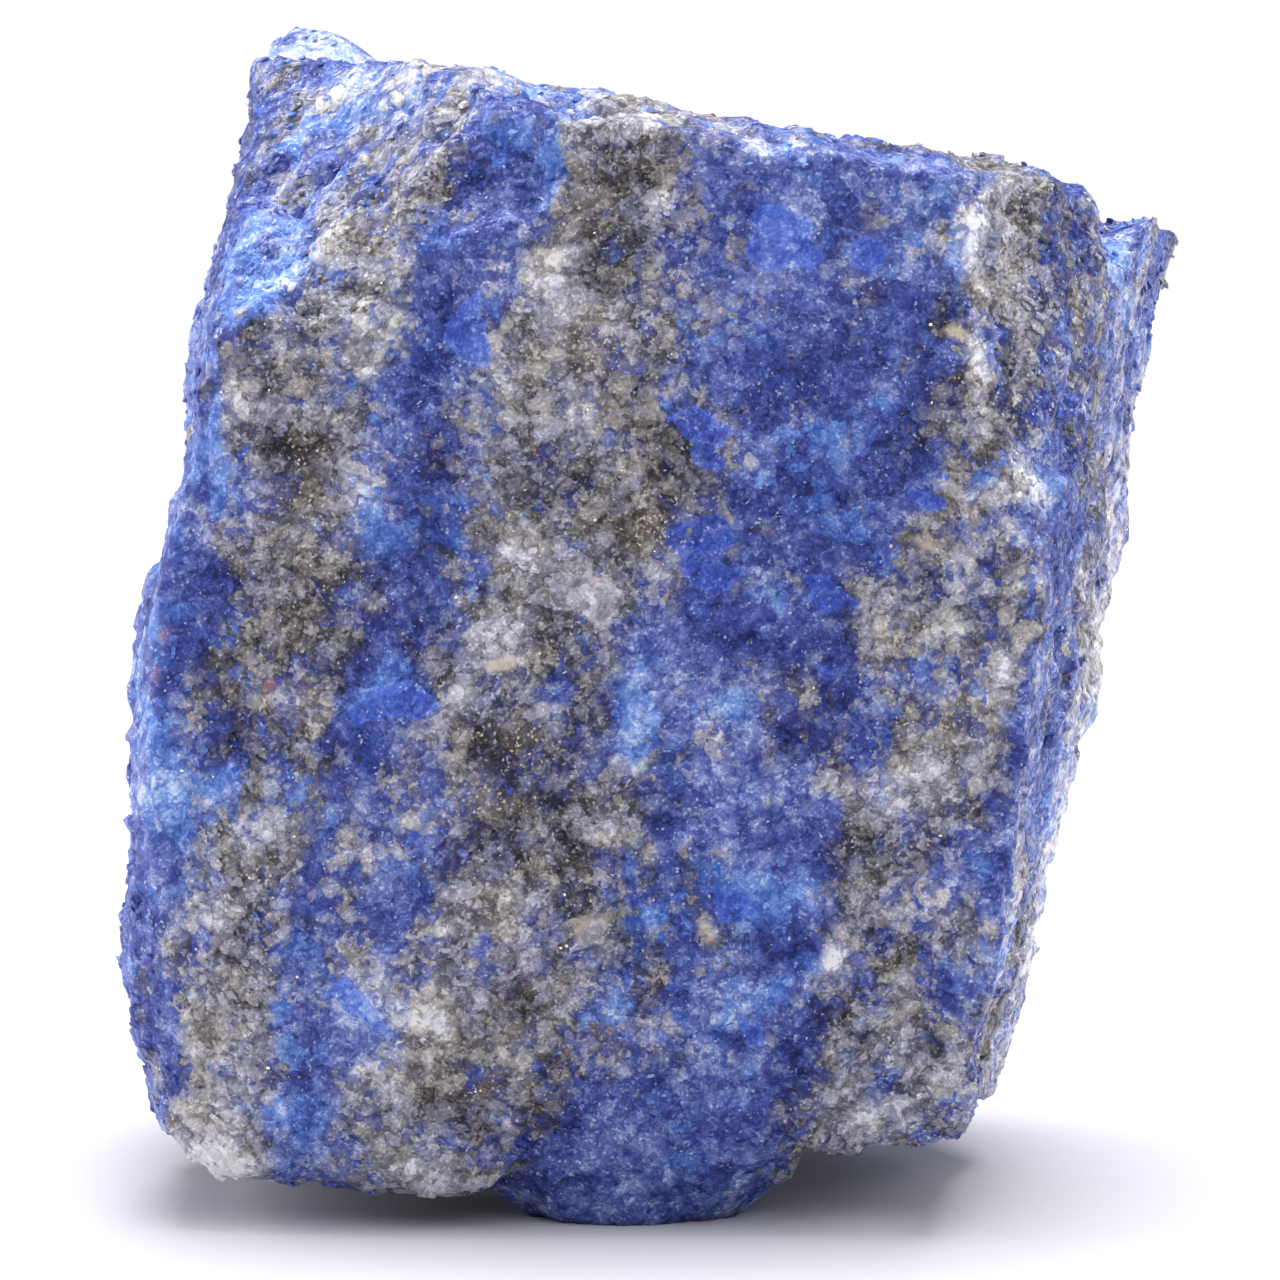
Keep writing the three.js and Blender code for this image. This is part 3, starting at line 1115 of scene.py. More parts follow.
        # The pale bed: partly calcite, partly painted light on the right edge.
        pale = self.pale_bed_and_edge_light.weight(x, depth, z)
        grey += 0.45 * pale
        light += 1.3 * pale
        light += 0.7 * rough(streaks, 4.5, 261)
        light += elsewhere * (0.9 * mosaic(streaks, 6.5, 311, 24.0) - 0.25)
        for size, amount in self.light_mosaics:
            light += amount * mosaic(streaks, size, 263 + size, 30.0)
        # Painted shade in the gaps between knobs, and painted light on their tops.
        for coat in self.knobs:
            light += coat.shade * (coat.domes(points) - 0.45)
        blueness = np.zeros(len(points))
        for region in self.regions:
            weight = region.weight(points)
            light += region.light * weight
            grey += region.grey * weight
            blueness += region.azure * weight
        azure = weights[Mineral.AZURE] + 0.5 * mosaic(points, 3.2, 283, 26.0)
        azure += blueness + elsewhere * np.clip(1.6 * rough(points, 5.0, 281) - 0.25, 0, 1)
        gold = weights[Mineral.GOLD] + np.clip(1.2 * rough(points, 6.0, 301) - 0.3, 0, 1)
        flake, which = self.flakes_near(points)
        tones = np.array([f.tone for f in self.flakes])
        blues = np.array([float(f.mineral is Mineral.AZURE) for f in self.flakes])
        return {
            "grey": grey,
            "light": light,
            "azure": azure,
            "gold": gold,
            "coarse": self.coarse(points),
            "warm": weights[Mineral.CREAM],
            "rust": weights[Mineral.RUST],
            "flake": np.clip(flake, -2.0, 2.0),
            "flake_tone": tones[which],
            "flake_blue": blues[which],
        }


# ------------------------------------------------------------------------------- node sheets


Socket = bpy.types.NodeSocket
Number = float | Socket


class Sheet:
    """A material's or the world's nodes, added one by one and wired as they are added."""

    def __init__(self, tree: bpy.types.NodeTree) -> None:
        """Starts from an empty node tree."""
        self.tree = tree
        tree.nodes.clear()

    def add(self, kind: str, **settings: object) -> bpy.types.Node:
        """Adds a node and sets its properties.

        Args:
            kind: the node's type, such as ShaderNodeMath.
            settings: property names and values.

        Returns:
            The node.
        """
        node = self.tree.nodes.new(kind)
        for name, value in settings.items():
            setattr(node, name, value)
        return node

    def feed(self, socket: Socket, value: object) -> None:
        """Wires a socket to another, or sets it to a plain value."""
        if isinstance(value, bpy.types.NodeSocket):
            self.tree.links.new(value, socket)
        else:
            socket.default_value = value

    def math(self, operation: str, *values: Number) -> Socket:
        """One sum of two numbers."""
        node = self.add("ShaderNodeMath", operation=operation)
        for socket, value in zip(node.inputs, values):
            self.feed(socket, value)
        return node.outputs[0]

    def plus(self, *values: Number) -> Socket:
        """All of the values added up."""
        return reduce(lambda a, b: self.math("ADD", a, b), values)

    def times(self, a: Number, b: Number) -> Socket:
        """Two values multiplied."""
        return self.math("MULTIPLY", a, b)

    def swing(self, value: Number, amount: Number) -> Socket:
        """(value - 0.5) * amount."""
        return self.times(self.math("SUBTRACT", value, 0.5), amount)

    def span(self, value: Number, low: float, high: float) -> Socket:
        """A smooth step from 0 at low to 1 at high."""
        node = self.add("ShaderNodeMapRange", interpolation_type="SMOOTHSTEP")
        self.feed(node.inputs["Value"], value)
        node.inputs["From Min"].default_value = low
        node.inputs["From Max"].default_value = high
        return node.outputs["Result"]

    def vector(self, operation: str, a: object, b: object) -> Socket:
        """One sum of two vectors, or of a vector and a scale."""
        node = self.add("ShaderNodeVectorMath", operation=operation)
        self.feed(node.inputs[0], a)
        self.feed(node.inputs["Scale" if operation == "SCALE" else 1], b)
        return node.outputs[0]

    def attribute(self, name: str) -> Socket:
        """A number that the mesh holds at each vertex."""
        return self.add("ShaderNodeAttribute", attribute_name=name).outputs["Fac"]

    def noise(
        self, place: Socket, size: float, detail: float = 2.0, rough_: float = 0.55
    ) -> bpy.types.Node:
        """Noise whose lumps measure about `size` in the units of `place`."""
        node = self.add("ShaderNodeTexNoise", noise_dimensions="3D")
        self.feed(node.inputs["Vector"], place)
        node.inputs["Scale"].default_value = 1 / size
        node.inputs["Detail"].default_value = detail
        node.inputs["Roughness"].default_value = rough_
        return node

    def cells(self, place: Socket, size: float) -> bpy.types.Node:
        """A mosaic of grains of about `size`."""
        node = self.add("ShaderNodeTexVoronoi", voronoi_dimensions="3D", feature="F1")
        self.feed(node.inputs["Vector"], place)
        node.inputs["Scale"].default_value = 1 / size
        return node

    def parts(self, colour: Socket) -> tuple[Socket, Socket, Socket]:
        """A colour's three numbers."""
        node = self.add("ShaderNodeSeparateColor")
        self.feed(node.inputs[0], colour)
        return node.outputs[0], node.outputs[1], node.outputs[2]

    def mix(self, factor: Number, a: object, b: object) -> Socket:
        """Colour a where factor is 0, colour b where it is 1."""
        node = self.add("ShaderNodeMix", data_type="RGBA")
        self.feed(node.inputs["Factor"], factor)
        self.feed(node.inputs[6], opaque(a))
        self.feed(node.inputs[7], opaque(b))
        return node.outputs[2]

    def ramp(
        self, value: Socket, stops: tuple[tuple[float, tuple], ...], end: float
    ) -> Socket:
        """Colours along a scale, each at its place from 0 to `end`."""
        node = self.add("ShaderNodeValToRGB")
        elements = node.color_ramp.elements
        while len(elements) < len(stops):
            elements.new(1.0)
        for element, (place, colour) in zip(elements, stops):
            element.position = place / end
            element.color = opaque(colour)
        self.feed(node.inputs[0], self.times(value, 1 / end))
        return node.outputs[0]


def opaque(colour: object) -> object:
    """A colour of three numbers with its fourth, or the socket as it is."""
    return (*colour, 1.0) if isinstance(colour, tuple) and len(colour) == 3 else colour


# ------------------------------------------------------------------------------- finishes


Colour = tuple[float, float, float]


@dataclass(frozen=True)
class LapisFinish:
    """The broken stone: blue and grey grains of several sizes, glints and pyrite dust."""

    blue: tuple[tuple[float, Colour], ...] = (
        (0.00, (0.008, 0.012, 0.080)),
        (0.25, (0.020, 0.033, 0.195)),
        (0.50, (0.053, 0.078, 0.312)),
        (0.75, (0.135, 0.185, 0.460)),
        (0.92, (0.270, 0.330, 0.610)),
        (1.20, (0.640, 0.690, 0.870)),
    )
    azure: tuple[tuple[float, Colour], ...] = (
        (0.00, (0.014, 0.034, 0.200)),
        (0.40, (0.050, 0.115, 0.430)),
        (0.70, (0.135, 0.255, 0.620)),
        (0.92, (0.285, 0.415, 0.740)),
        (1.20, (0.640, 0.730, 0.920)),
    )
    grey: tuple[tuple[float, Colour], ...] = (
        (0.00, (0.012, 0.012, 0.018)),
        (0.25, (0.060, 0.059, 0.079)),
        (0.50, (0.165, 0.163, 0.208)),
        (0.75, (0.325, 0.324, 0.395)),
        (0.92, (0.460, 0.458, 0.525)),
        (1.20, (0.820, 0.820, 0.870)),
    )
    olive: tuple[tuple[float, Colour], ...] = (
        (0.00, (0.016, 0.013, 0.011)),
        (0.25, (0.070, 0.063, 0.058)),
        (0.50, (0.185, 0.172, 0.166)),
        (0.75, (0.360, 0.343, 0.335)),
        (0.92, (0.500, 0.482, 0.470)),
        (1.20, (0.850, 0.830, 0.810)),
    )
    cleaved: tuple[tuple[float, Colour], ...] = (
        (0.00, (0.008, 0.016, 0.130)),
        (0.40, (0.028, 0.064, 0.390)),
        (0.70, (0.085, 0.168, 0.640)),
        (0.92, (0.240, 0.370, 0.780)),
        (1.20, (0.660, 0.740, 0.930)),
    )
    scale_end: float = 1.25
    cream: Colour = (0.62, 0.54, 0.42)
    brown: Colour = (0.095, 0.070, 0.042)
    rust: Colour = (0.42, 0.12, 0.03)
    gold: Colour = (0.68, 0.60, 0.44)
    glint: Colour = (0.70, 0.73, 0.86)
    middle: float = 0.545
    grain_size: float = 0.66
    fine_size: float = 0.27
    dust_size: float = 0.11
    plate_size: float = 1.6
    tone: float = 0.24
    plate: float = 0.24
    crystal: float = 0.12
    crystal_in_grey: float = 0.14
    fine: float = 0.18
    dust: float = 0.20
    cloud: float = 0.20
    # How much painted shade darkens the gaps between grains.
    gap: float = 0.18
    plate_lean: float = 0.38
    grain_lean: float = 0.28
    fine_lean: float = 0.42
    dust_lean: float = 0.24
    gap_shade_span: tuple[float, float] = (0.30, 0.75)
    crystal_span: tuple[float, float] = (0.36, 0.64)
    grey_span: tuple[float, float] = (0.17, 0.88)
    azure_span: tuple[float, float] = (0.25, 0.80)
    olive_span: tuple[float, float] = (0.45, 0.85)
    dirt_span: tuple[float, float] = (0.1, 0.9)
    dirt_share: float = 0.4
    warm_span: tuple[float, float] = (0.25, 0.8)
    warm_share: float = 0.7
    flake_span: tuple[float, float] = (-0.04, 0.06)
    rim_highlight_span: tuple[float, float] = (0.05, 0.22)
    flake_share: float = 0.82
    glint_span: tuple[float, float] = (0.88, 1.0)
    glint_grains: tuple[float, float] = (0.45, 0.95)
    glint_share: float = 0.6
    pyrite_span: tuple[float, float] = (1.0, 1.10)
    pyrite_share: float = 0.7
    roughness: float = 0.5
    specular: float = 0.25

    def for_grains(self) -> "LapisFinish":
        """The same finish without its coarsest mosaic, for pieces that are grains themselves."""
        return replace(
            self,
            plate=0.0,
            crystal=0.0,
            crystal_in_grey=0.0,
            gap=0.0,
            plate_lean=0.0,
            grain_lean=0.0,
            fine_lean=0.24,
        )

    def material(self) -> bpy.types.Material:
        """Builds the finish.

        Returns:
            The material. A grain's lightness is the surface's own `light`, painted light and shade
            included, and the numbers of four mosaics, from plates to dust, with painted shade in
            the gaps between grains, and its colour comes off the blue, azure, grey or olive scale.
        """
        made = bpy.data.materials.new("lapis")
        made.use_nodes = True
        sheet = Sheet(made.node_tree)
        shader = sheet.add("ShaderNodeBsdfPrincipled")
        output = sheet.add("ShaderNodeOutputMaterial")
        sheet.feed(output.inputs["Surface"], shader.outputs["BSDF"])
        object_place = sheet.add("ShaderNodeTexCoord").outputs["Object"]
        place = sheet.vector("SCALE", object_place, 1 / MM)
        ruffle = sheet.noise(place, 0.5, 3.0, 0.6)
        push = sheet.vector("SUBTRACT", ruffle.outputs["Color"], (0.5, 0.5, 0.5))
        shaken = sheet.vector("ADD", place, sheet.vector("SCALE", push, 0.5))
        plate_cells = sheet.cells(shaken, self.plate_size)
        grain_cells = sheet.cells(shaken, self.grain_size)
        fine_cells = sheet.cells(shaken, self.fine_size)
        dust_cells = sheet.cells(place, self.dust_size)
        plates = sheet.parts(plate_cells.outputs["Color"])
        grains = sheet.parts(grain_cells.outputs["Color"])
        fines = sheet.parts(fine_cells.outputs["Color"])
        dusts = sheet.parts(dust_cells.outputs["Color"])
        cloud = ruffle.outputs["Fac"]
        gaps = sheet.span(grain_cells.outputs["Distance"], *self.gap_shade_span)
        crystals = sheet.span(
            sheet.plus(grains[0], sheet.swing(fines[0], 0.5), sheet.swing(cloud, 0.6)),
            *self.crystal_span,
        )
        greyness = sheet.span(
            sheet.plus(
                sheet.attribute("grey"),
                sheet.swing(crystals, 0.16),
                sheet.swing(grains[1], 0.42),
                sheet.swing(fines[1], 0.25),
                sheet.swing(cloud, 0.4),
            ),
            *self.grey_span,
        )
        contrast = sheet.plus(sheet.times(greyness, self.crystal_in_grey), self.crystal)
        tone = sheet.plus(
            sheet.times(sheet.attribute("light"), self.tone),
            sheet.swing(plates[0], self.plate),
            sheet.swing(crystals, contrast),
            sheet.swing(fines[0], self.fine),
            sheet.swing(sheet.math("POWER", dusts[0], 2.2), 1.5 * self.dust),
            sheet.swing(cloud, self.cloud),
            # Painted shade: darker in the gaps between grains.
            sheet.times(gaps, -self.gap),
            self.middle + 0.28 * self.dust + 0.4 * self.gap,
        )
        azureness = sheet.span(
            sheet.plus(
                sheet.attribute("azure"),
                sheet.swing(plates[2], 0.9),
                sheet.swing(grains[2], 0.6),
                sheet.swing(fines[2], 0.3),
            ),
            *self.azure_span,
        )
        blue = sheet.mix(
            azureness,
            sheet.ramp(tone, self.blue, self.scale_end),
            sheet.ramp(tone, self.azure, self.scale_end),
        )
        olive_share = sheet.span(
            sheet.plus(plates[1], sheet.swing(grains[2], 0.8), sheet.swing(cloud, 0.6)),
            *self.olive_span,
        )
        stone = sheet.mix(greyness, blue, self._grey(sheet, tone, olive_share, fines[2]))
        stone = self._flaked(sheet, stone, tone, cloud, fines[2])
        stone = self._flecked(sheet, stone, dusts, fines, greyness)
        sheet.feed(shader.inputs["Base Color"], stone)
        shader.inputs["Specular IOR Level"].default_value = self.specular
        wear = sheet.plus(self.roughness, sheet.swing(fines[1], 0.5))
        sheet.feed(shader.inputs["Roughness"], wear)
        rounding = sheet.vector("SUBTRACT", shaken, grain_cells.outputs["Position"])
        steepness = sheet.times(
            sheet.plus(sheet.attribute("coarse"), 0.4), self.grain_lean / self.grain_size
        )
        leans = (
            sheet.vector("SCALE", rounding, steepness),
            self._lean(sheet, plate_cells, self.plate_lean),
            self._lean(sheet, fine_cells, self.fine_lean),
            self._lean(sheet, dust_cells, self.dust_lean),
        )
        normal = sheet.add("ShaderNodeNewGeometry").outputs["Normal"]
        leaning = reduce(lambda a, b: sheet.vector("ADD", a, b), leans, normal)
        level = sheet.vector("NORMALIZE", leaning, (0.0, 0.0, 0.0))
        sheet.feed(shader.inputs["Normal"], level)
        return made

    def _lean(self, sheet: Sheet, cells: bpy.types.Node, amount: float) -> Socket:
        """How far each grain of a mosaic leans, from its own three numbers."""
        own = sheet.vector("SUBTRACT", cells.outputs["Color"], (0.5, 0.5, 0.5))
        return sheet.vector("SCALE", own, amount)

    def _grey(
        self, sheet: Sheet, tone: Socket, olive_share: Socket, speckle: Socket
    ) -> Socket:
        """Calcite: cool and warm grey grains, brown where pyrite weathers, cream in places."""
        grey = sheet.mix(
            olive_share,
            sheet.ramp(tone, self.grey, self.scale_end),
            sheet.ramp(tone, self.olive, self.scale_end),
        )
        dirt = sheet.span(
            sheet.plus(sheet.attribute("gold"), sheet.swing(speckle, 0.6)), *self.dirt_span
        )
        grey = sheet.mix(sheet.times(dirt, self.dirt_share), grey, self.brown)
        warmth = sheet.span(sheet.attribute("warm"), *self.warm_span)
        return sheet.mix(sheet.times(warmth, self.warm_share), grey, self.cream)

    def _flaked(
        self, sheet: Sheet, stone: Socket, tone: Socket, cloud: Socket, speckle: Socket
    ) -> Socket:
        """Lays the crisp flakes over the grains, each on its own lightness, with a painted
        highlight along their rims.
        """
        within = sheet.plus(sheet.attribute("flake"), sheet.swing(cloud, 0.6))
        inside = sheet.span(within, *self.flake_span)
        # Painted highlight along each flake's raised edge.
        rim_highlight = sheet.math("SUBTRACT", inside, sheet.span(within, *self.rim_highlight_span))
        own = sheet.plus(
            sheet.times(sheet.attribute("flake_tone"), 0.28),
            sheet.times(tone, 0.62),
            sheet.swing(speckle, 0.14),
            sheet.times(rim_highlight, 0.14),
        )
        blue = sheet.ramp(own, self.cleaved, self.scale_end)
        pale = sheet.ramp(sheet.plus(own, 0.22), self.grey, self.scale_end)
        flake = sheet.mix(sheet.attribute("flake_blue"), pale, blue)
        return sheet.mix(sheet.times(inside, self.flake_share), stone, flake)

    def _flecked(
        self,
        sheet: Sheet,
        stone: Socket,
        dusts: tuple[Socket, ...],
        fines: tuple[Socket, ...],
        greyness: Socket,
    ) -> Socket:
        """Bright cleavage glints here and there, and pyrite dust where the stone is grey."""
        glints = sheet.times(
            sheet.span(dusts[1], *self.glint_span), sheet.span(fines[2], *self.glint_grains)
        )
        stone = sheet.mix(sheet.times(glints, self.glint_share), stone, self.glint)
        thick = sheet.plus(
            sheet.times(sheet.attribute("gold"), 0.10), sheet.times(greyness, 0.055), dusts[2]
        )
        pyrite = sheet.times(sheet.span(thick, *self.pyrite_span), self.pyrite_share)
        stone = sheet.mix(pyrite, stone, self.gold)
        return sheet.mix(sheet.attribute("rust"), stone, self.rust)


@dataclass(frozen=True)
class PyriteFinish:
    """Pyrite grains: brassy metal, a little tarnished."""

    bright: Colour = (0.94, 0.84, 0.63)
    dull: Colour = (0.58, 0.49, 0.34)
    tarnish_size: float = 0.35
    roughness: float = 0.3

    def material(self) -> bpy.types.Material:
        """Builds the finish: metal whose colour and gloss change from grain to grain."""
        made = bpy.data.materials.new("pyrite")
        made.use_nodes = True
        sheet = Sheet(made.node_tree)
        shader = sheet.add("ShaderNodeBsdfPrincipled")
        output = sheet.add("ShaderNodeOutputMaterial")
        sheet.feed(output.inputs["Surface"], shader.outputs["BSDF"])
        object_place = sheet.add("ShaderNodeTexCoord").outputs["Object"]
        place = sheet.vector("SCALE", object_place, 1 / MM)
        tarnish = sheet.noise(place, self.tarnish_size, 2.0).outputs["Fac"]
        colour = sheet.mix(sheet.span(tarnish, 0.35, 0.65), self.bright, self.dull)
        sheet.feed(shader.inputs["Base Color"], colour)
        shader.inputs["Metallic"].default_value = 1.0
        gloss = sheet.plus(self.roughness, sheet.swing(tarnish, 0.3))
        sheet.feed(shader.inputs["Roughness"], gloss)
        return made


# ------------------------------------------------------------------------------- the pieces


def mesh_object(
    name: str, points: np.ndarray, faces: np.ndarray, smooth: bool
) -> bpy.types.Object:
    """Puts points and faces into a new object at the origin.

    Args:
        name: the object's name.
        points: n by 3, in millimetres.
        faces: m by 3 or m by 4 corner indices, wound outwards.
        smooth: whether faces share their normals.

    Returns:
        The object, in the scene.
    """
    mesh = bpy.data.meshes.new(name)
    sides = faces.shape[1]
    mesh.vertices.add(len(points))
    mesh.vertices.foreach_set("co", (points * MM).astype(np.float32).ravel())
    mesh.loops.add(faces.size)
    mesh.loops.foreach_set("vertex_index", faces.astype(np.int32).ravel())
    mesh.polygons.add(len(faces))
    starts = np.arange(0, faces.size, sides, dtype=np.int32)
    mesh.polygons.foreach_set("loop_start", starts)
    mesh.polygons.foreach_set("use_smooth", np.full(len(faces), smooth))
    mesh.update(calc_edges=True)
    mesh.validate()
    made = bpy.data.objects.new(name, mesh)
    bpy.context.scene.collection.objects.link(made)
    return made


@dataclass(frozen=True)
class Stone:
    """The stone itself: its form, its zones and its finish."""

    form: BrokenBlock = field(default_factory=BrokenBlock)
    grid: BoxGrid = field(default_factory=BoxGrid)
    zones: Zones = field(default_factory=Zones)
    finish: LapisFinish = field(default_factory=LapisFinish)
    map_name: str = "OFBake"
    foot_fade: float = 0.6

    def skin(self, directions: np.ndarray) -> tuple[np.ndarray, dict[str, np.ndarray]]:
        """The finished surface: the form with its knobs, and what lies there.

        Args:
            directions: unit vectors from the stone's heart, n by 3.

        Returns:
            n by 3 points and the zones' numbers at them.
        """
        points = self.form.surface(directions)
        above = np.clip(points[:, 2] / self.foot_fade, 0, 1)
        lumps = self.zones.lumps(points) * above
        return points + directions * lumps[:, None], self.zones.fields(points)

    def build(self) -> bpy.types.Object:
        """Makes the stone, which stands for the frame's own stone."""
        corners = self.grid.corners()
        directions = corners / np.linalg.norm(corners, axis=1)[:, None]
        points, fields = self.skin(directions)
        quads, places = self.grid.quads_and_charts()
        stone = mesh_object("rough_stone", points, quads, smooth=True)
        for name, values in fields.items():
            layer = stone.data.attributes.new(name, "FLOAT", "POINT")
            layer.data.foreach_set("value", values.astype(np.float32))
        flat_map = stone.data.uv_layers.new(name=self.map_name)
        flat_map.data.foreach_set("uv", places.astype(np.float32).ravel())
        stone.data.materials.append(self.finish.material())
        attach(stone, BODY)
        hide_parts(STONE_NODE)
        return stone


@dataclass(frozen=True)
class Crystal:
    """The body of one grain: a ball of twenty flat faces between two poles.

    A ring of five corners lies at height 1 / sqrt 5 and another, half a step on, as far below.
    """

    ring: int = 5

    def corners(self) -> np.ndarray:
        """The twelve corners at distance 1: pole, upper ring, lower ring, pole."""
        height = 1 / math.sqrt(5)
        turn = np.arange(self.ring) * 2 * math.pi / self.ring
        rings = []
        for level, start in ((height, 0.0), (-height, math.pi / self.ring)):
            flat = 2 * height * np.stack([np.cos(turn + start), np.sin(turn + start)], -1)
            rings.append(np.column_stack([flat, np.full(self.ring, level)]))
        return np.concatenate([[[0, 0, 1]], *rings, [[0, 0, -1]]])

    def faces_and_net(self) -> tuple[np.ndarray, np.ndarray]:
        """The faces, wound outwards, and the same faces laid flat as a paper net.

        Returns:
            Corner indices, 20 by 3, and places from 0 to 1, 20 by 3 by 2. The net has one
            column for each step of the ring and three rows: cap, belt, cap.
        """
        k = np.arange(self.ring)
        after = (k + 1) % self.ring
        top, bottom = np.zeros_like(k), np.full_like(k, 2 * self.ring + 1)
        upper, lower = 1 + k, 1 + self.ring + k
        upper_after, lower_after = 1 + after, 1 + self.ring + after
        rows = (
            ((upper, k, 2), (upper_after, k + 1, 2), (top, k + 0.5, 3)),
            ((upper, k, 2), (lower, k + 0.5, 1), (upper_after, k + 1, 2)),
            ((lower, k + 0.5, 1), (lower_after, k + 1.5, 1), (upper_after, k + 1, 2)),
            ((lower, k + 0.5, 1), (bottom, k + 1, 0), (lower_after, k + 1.5, 1)),
        )
        faces, net = [], []
        for row in rows:
            faces.append(np.stack([index for index, _, _ in row], -1))
            across = np.stack([u / (self.ring + 0.5) for _, u, _ in row], -1)
            up = np.stack([np.full(self.ring, v / 3) for _, _, v in row], -1)
            net.append(np.stack([across, up], -1))
        return np.concatenate(faces), np.concatenate(net)


@dataclass(frozen=True)
class CrystalGrains:
    """Grains of one mineral that stand out of the broken faces, part sunk in them.

    `flatness` is the share of a grain's height off the face that is pressed away.
    """

    stone: Stone
    name: str
    calcite: bool
    seed: int
    tries: int = 34000
    most: int = 9600
    least_width: float = 0.32
    most_width: float = 0.95
    smallness: float = 2.2
    flatness: float = 0.55
    sunk: float = 0.46
    lightness: float = 0.10
    contrast: float = 1.2
    map_margin: float = 0.12
    grey_from: float = 0.26
    grey_over: float = 0.48
    smooth_share: float = 0.15
    coarse_share: float = 0.85
    flake_share: float = 0.12
    lowest: float = 0.9

    def build(self) -> bpy.types.Object:
        """Makes all grains as one joined mesh, with a cell of the flat map for each."""
        random = np.random.default_rng(self.seed)
        directions = self.stone.grid.sprinkled(random, self.tries)
        spots, fields = self.stone.skin(directions)
        chosen = np.flatnonzero(self._kept(random, spots, fields))[: self.most]
        spots, directions = spots[chosen], directions[chosen]
        fields = {name: values[chosen] for name, values in fields.items()}
        count = len(chosen)
        spread = (self.most_width - self.least_width) * (0.4 + 0.6 * fields["coarse"])
        widths = self.least_width + spread * random.random(count) ** self.smallness
        crystal = Crystal()
        corners = crystal.corners()
        stretch = 0.62 + 0.76 * random.random((count, 1, 3))
        uneven = 0.78 + 0.44 * random.random((count, len(corners), 1))
        shape = corners[None] * stretch * uneven * (widths / 2)[:, None, None]
        points = np.einsum("nij,nkj->nki", random_turns(random, count), shape)
        height = np.einsum("nkj,nj->nk", points, directions)
        points -= self.flatness * height[:, :, None] * directions[:, None]
        points += (spots - directions * (self.sunk * widths / 2)[:, None])[:, None]
        faces, net = crystal.faces_and_net()
        faces = (faces[None] + len(corners) * np.arange(count)[:, None, None]).reshape(-1, 3)
        grains = mesh_object(self.name, points.reshape(-1, 3), faces, smooth=False)
        for name, values in self._own_fields(random, fields).items():
            layer = grains.data.attributes.new(name, "FLOAT", "POINT")
            spread_out = np.repeat(values, len(corners)).astype(np.float32)
            layer.data.foreach_set("value", spread_out)
        flat_map = grains.data.uv_layers.new(name=self.stone.map_name)
        flat_map.data.foreach_set("uv", self._places(net, count).astype(np.float32).ravel())
        grains.data.materials.append(self.stone.finish.for_grains().material())
        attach(grains, BODY)
        return grains

    def _kept(
        self, random: np.random.Generator, spots: np.ndarray, fields: dict[str, np.ndarray]
    ) -> np.ndarray:
        """Which spots get a grain: by mineral, fewer in smooth beds, few on a flake."""
        calcite = np.clip((fields["grey"] - self.grey_from) / self.grey_over, 0, 1)
        share = calcite if self.calcite else 1 - calcite
        share = share * (self.smooth_share + self.coarse_share * fields["coarse"])
        share = share * np.where(fields["flake"] > AT_FLAKE, self.flake_share, 1.0)
        return (random.random(len(spots)) < share) & (spots[:, 2] > self.lowest)

    def _own_fields(
        self, random: np.random.Generator, fields: dict[str, np.ndarray]
    ) -> dict[str, np.ndarray]:
        """The zones' numbers with each grain's own mineral, lightness and blueness."""
        count = len(fields["light"])
        swing = random.random(count) - 0.5
        own = dict(fields)
        own["grey"] = np.full(count, 1.2 if self.calcite else -0.4)
        own["light"] = fields["light"] + self.lightness + self.contrast * swing
        own["azure"] = fields["azure"] + 0.9 * (random.random(count) - 0.5)
        own["flake"] = np.full(count, -2.0)
        return own

    def _places(self, net: np.ndarray, count: int) -> np.ndarray:
        """The net of each grain in its own cell of a square of cells, n by 20 by 3 by 2."""
        side = math.ceil(math.sqrt(count))
        index = np.arange(count)
        cell = np.stack([index % side, index // side], -1)
        inner = self.map_margin + net * (1 - 2 * self.map_margin)
        return (cell[:, None, None] + inner[None]) / side


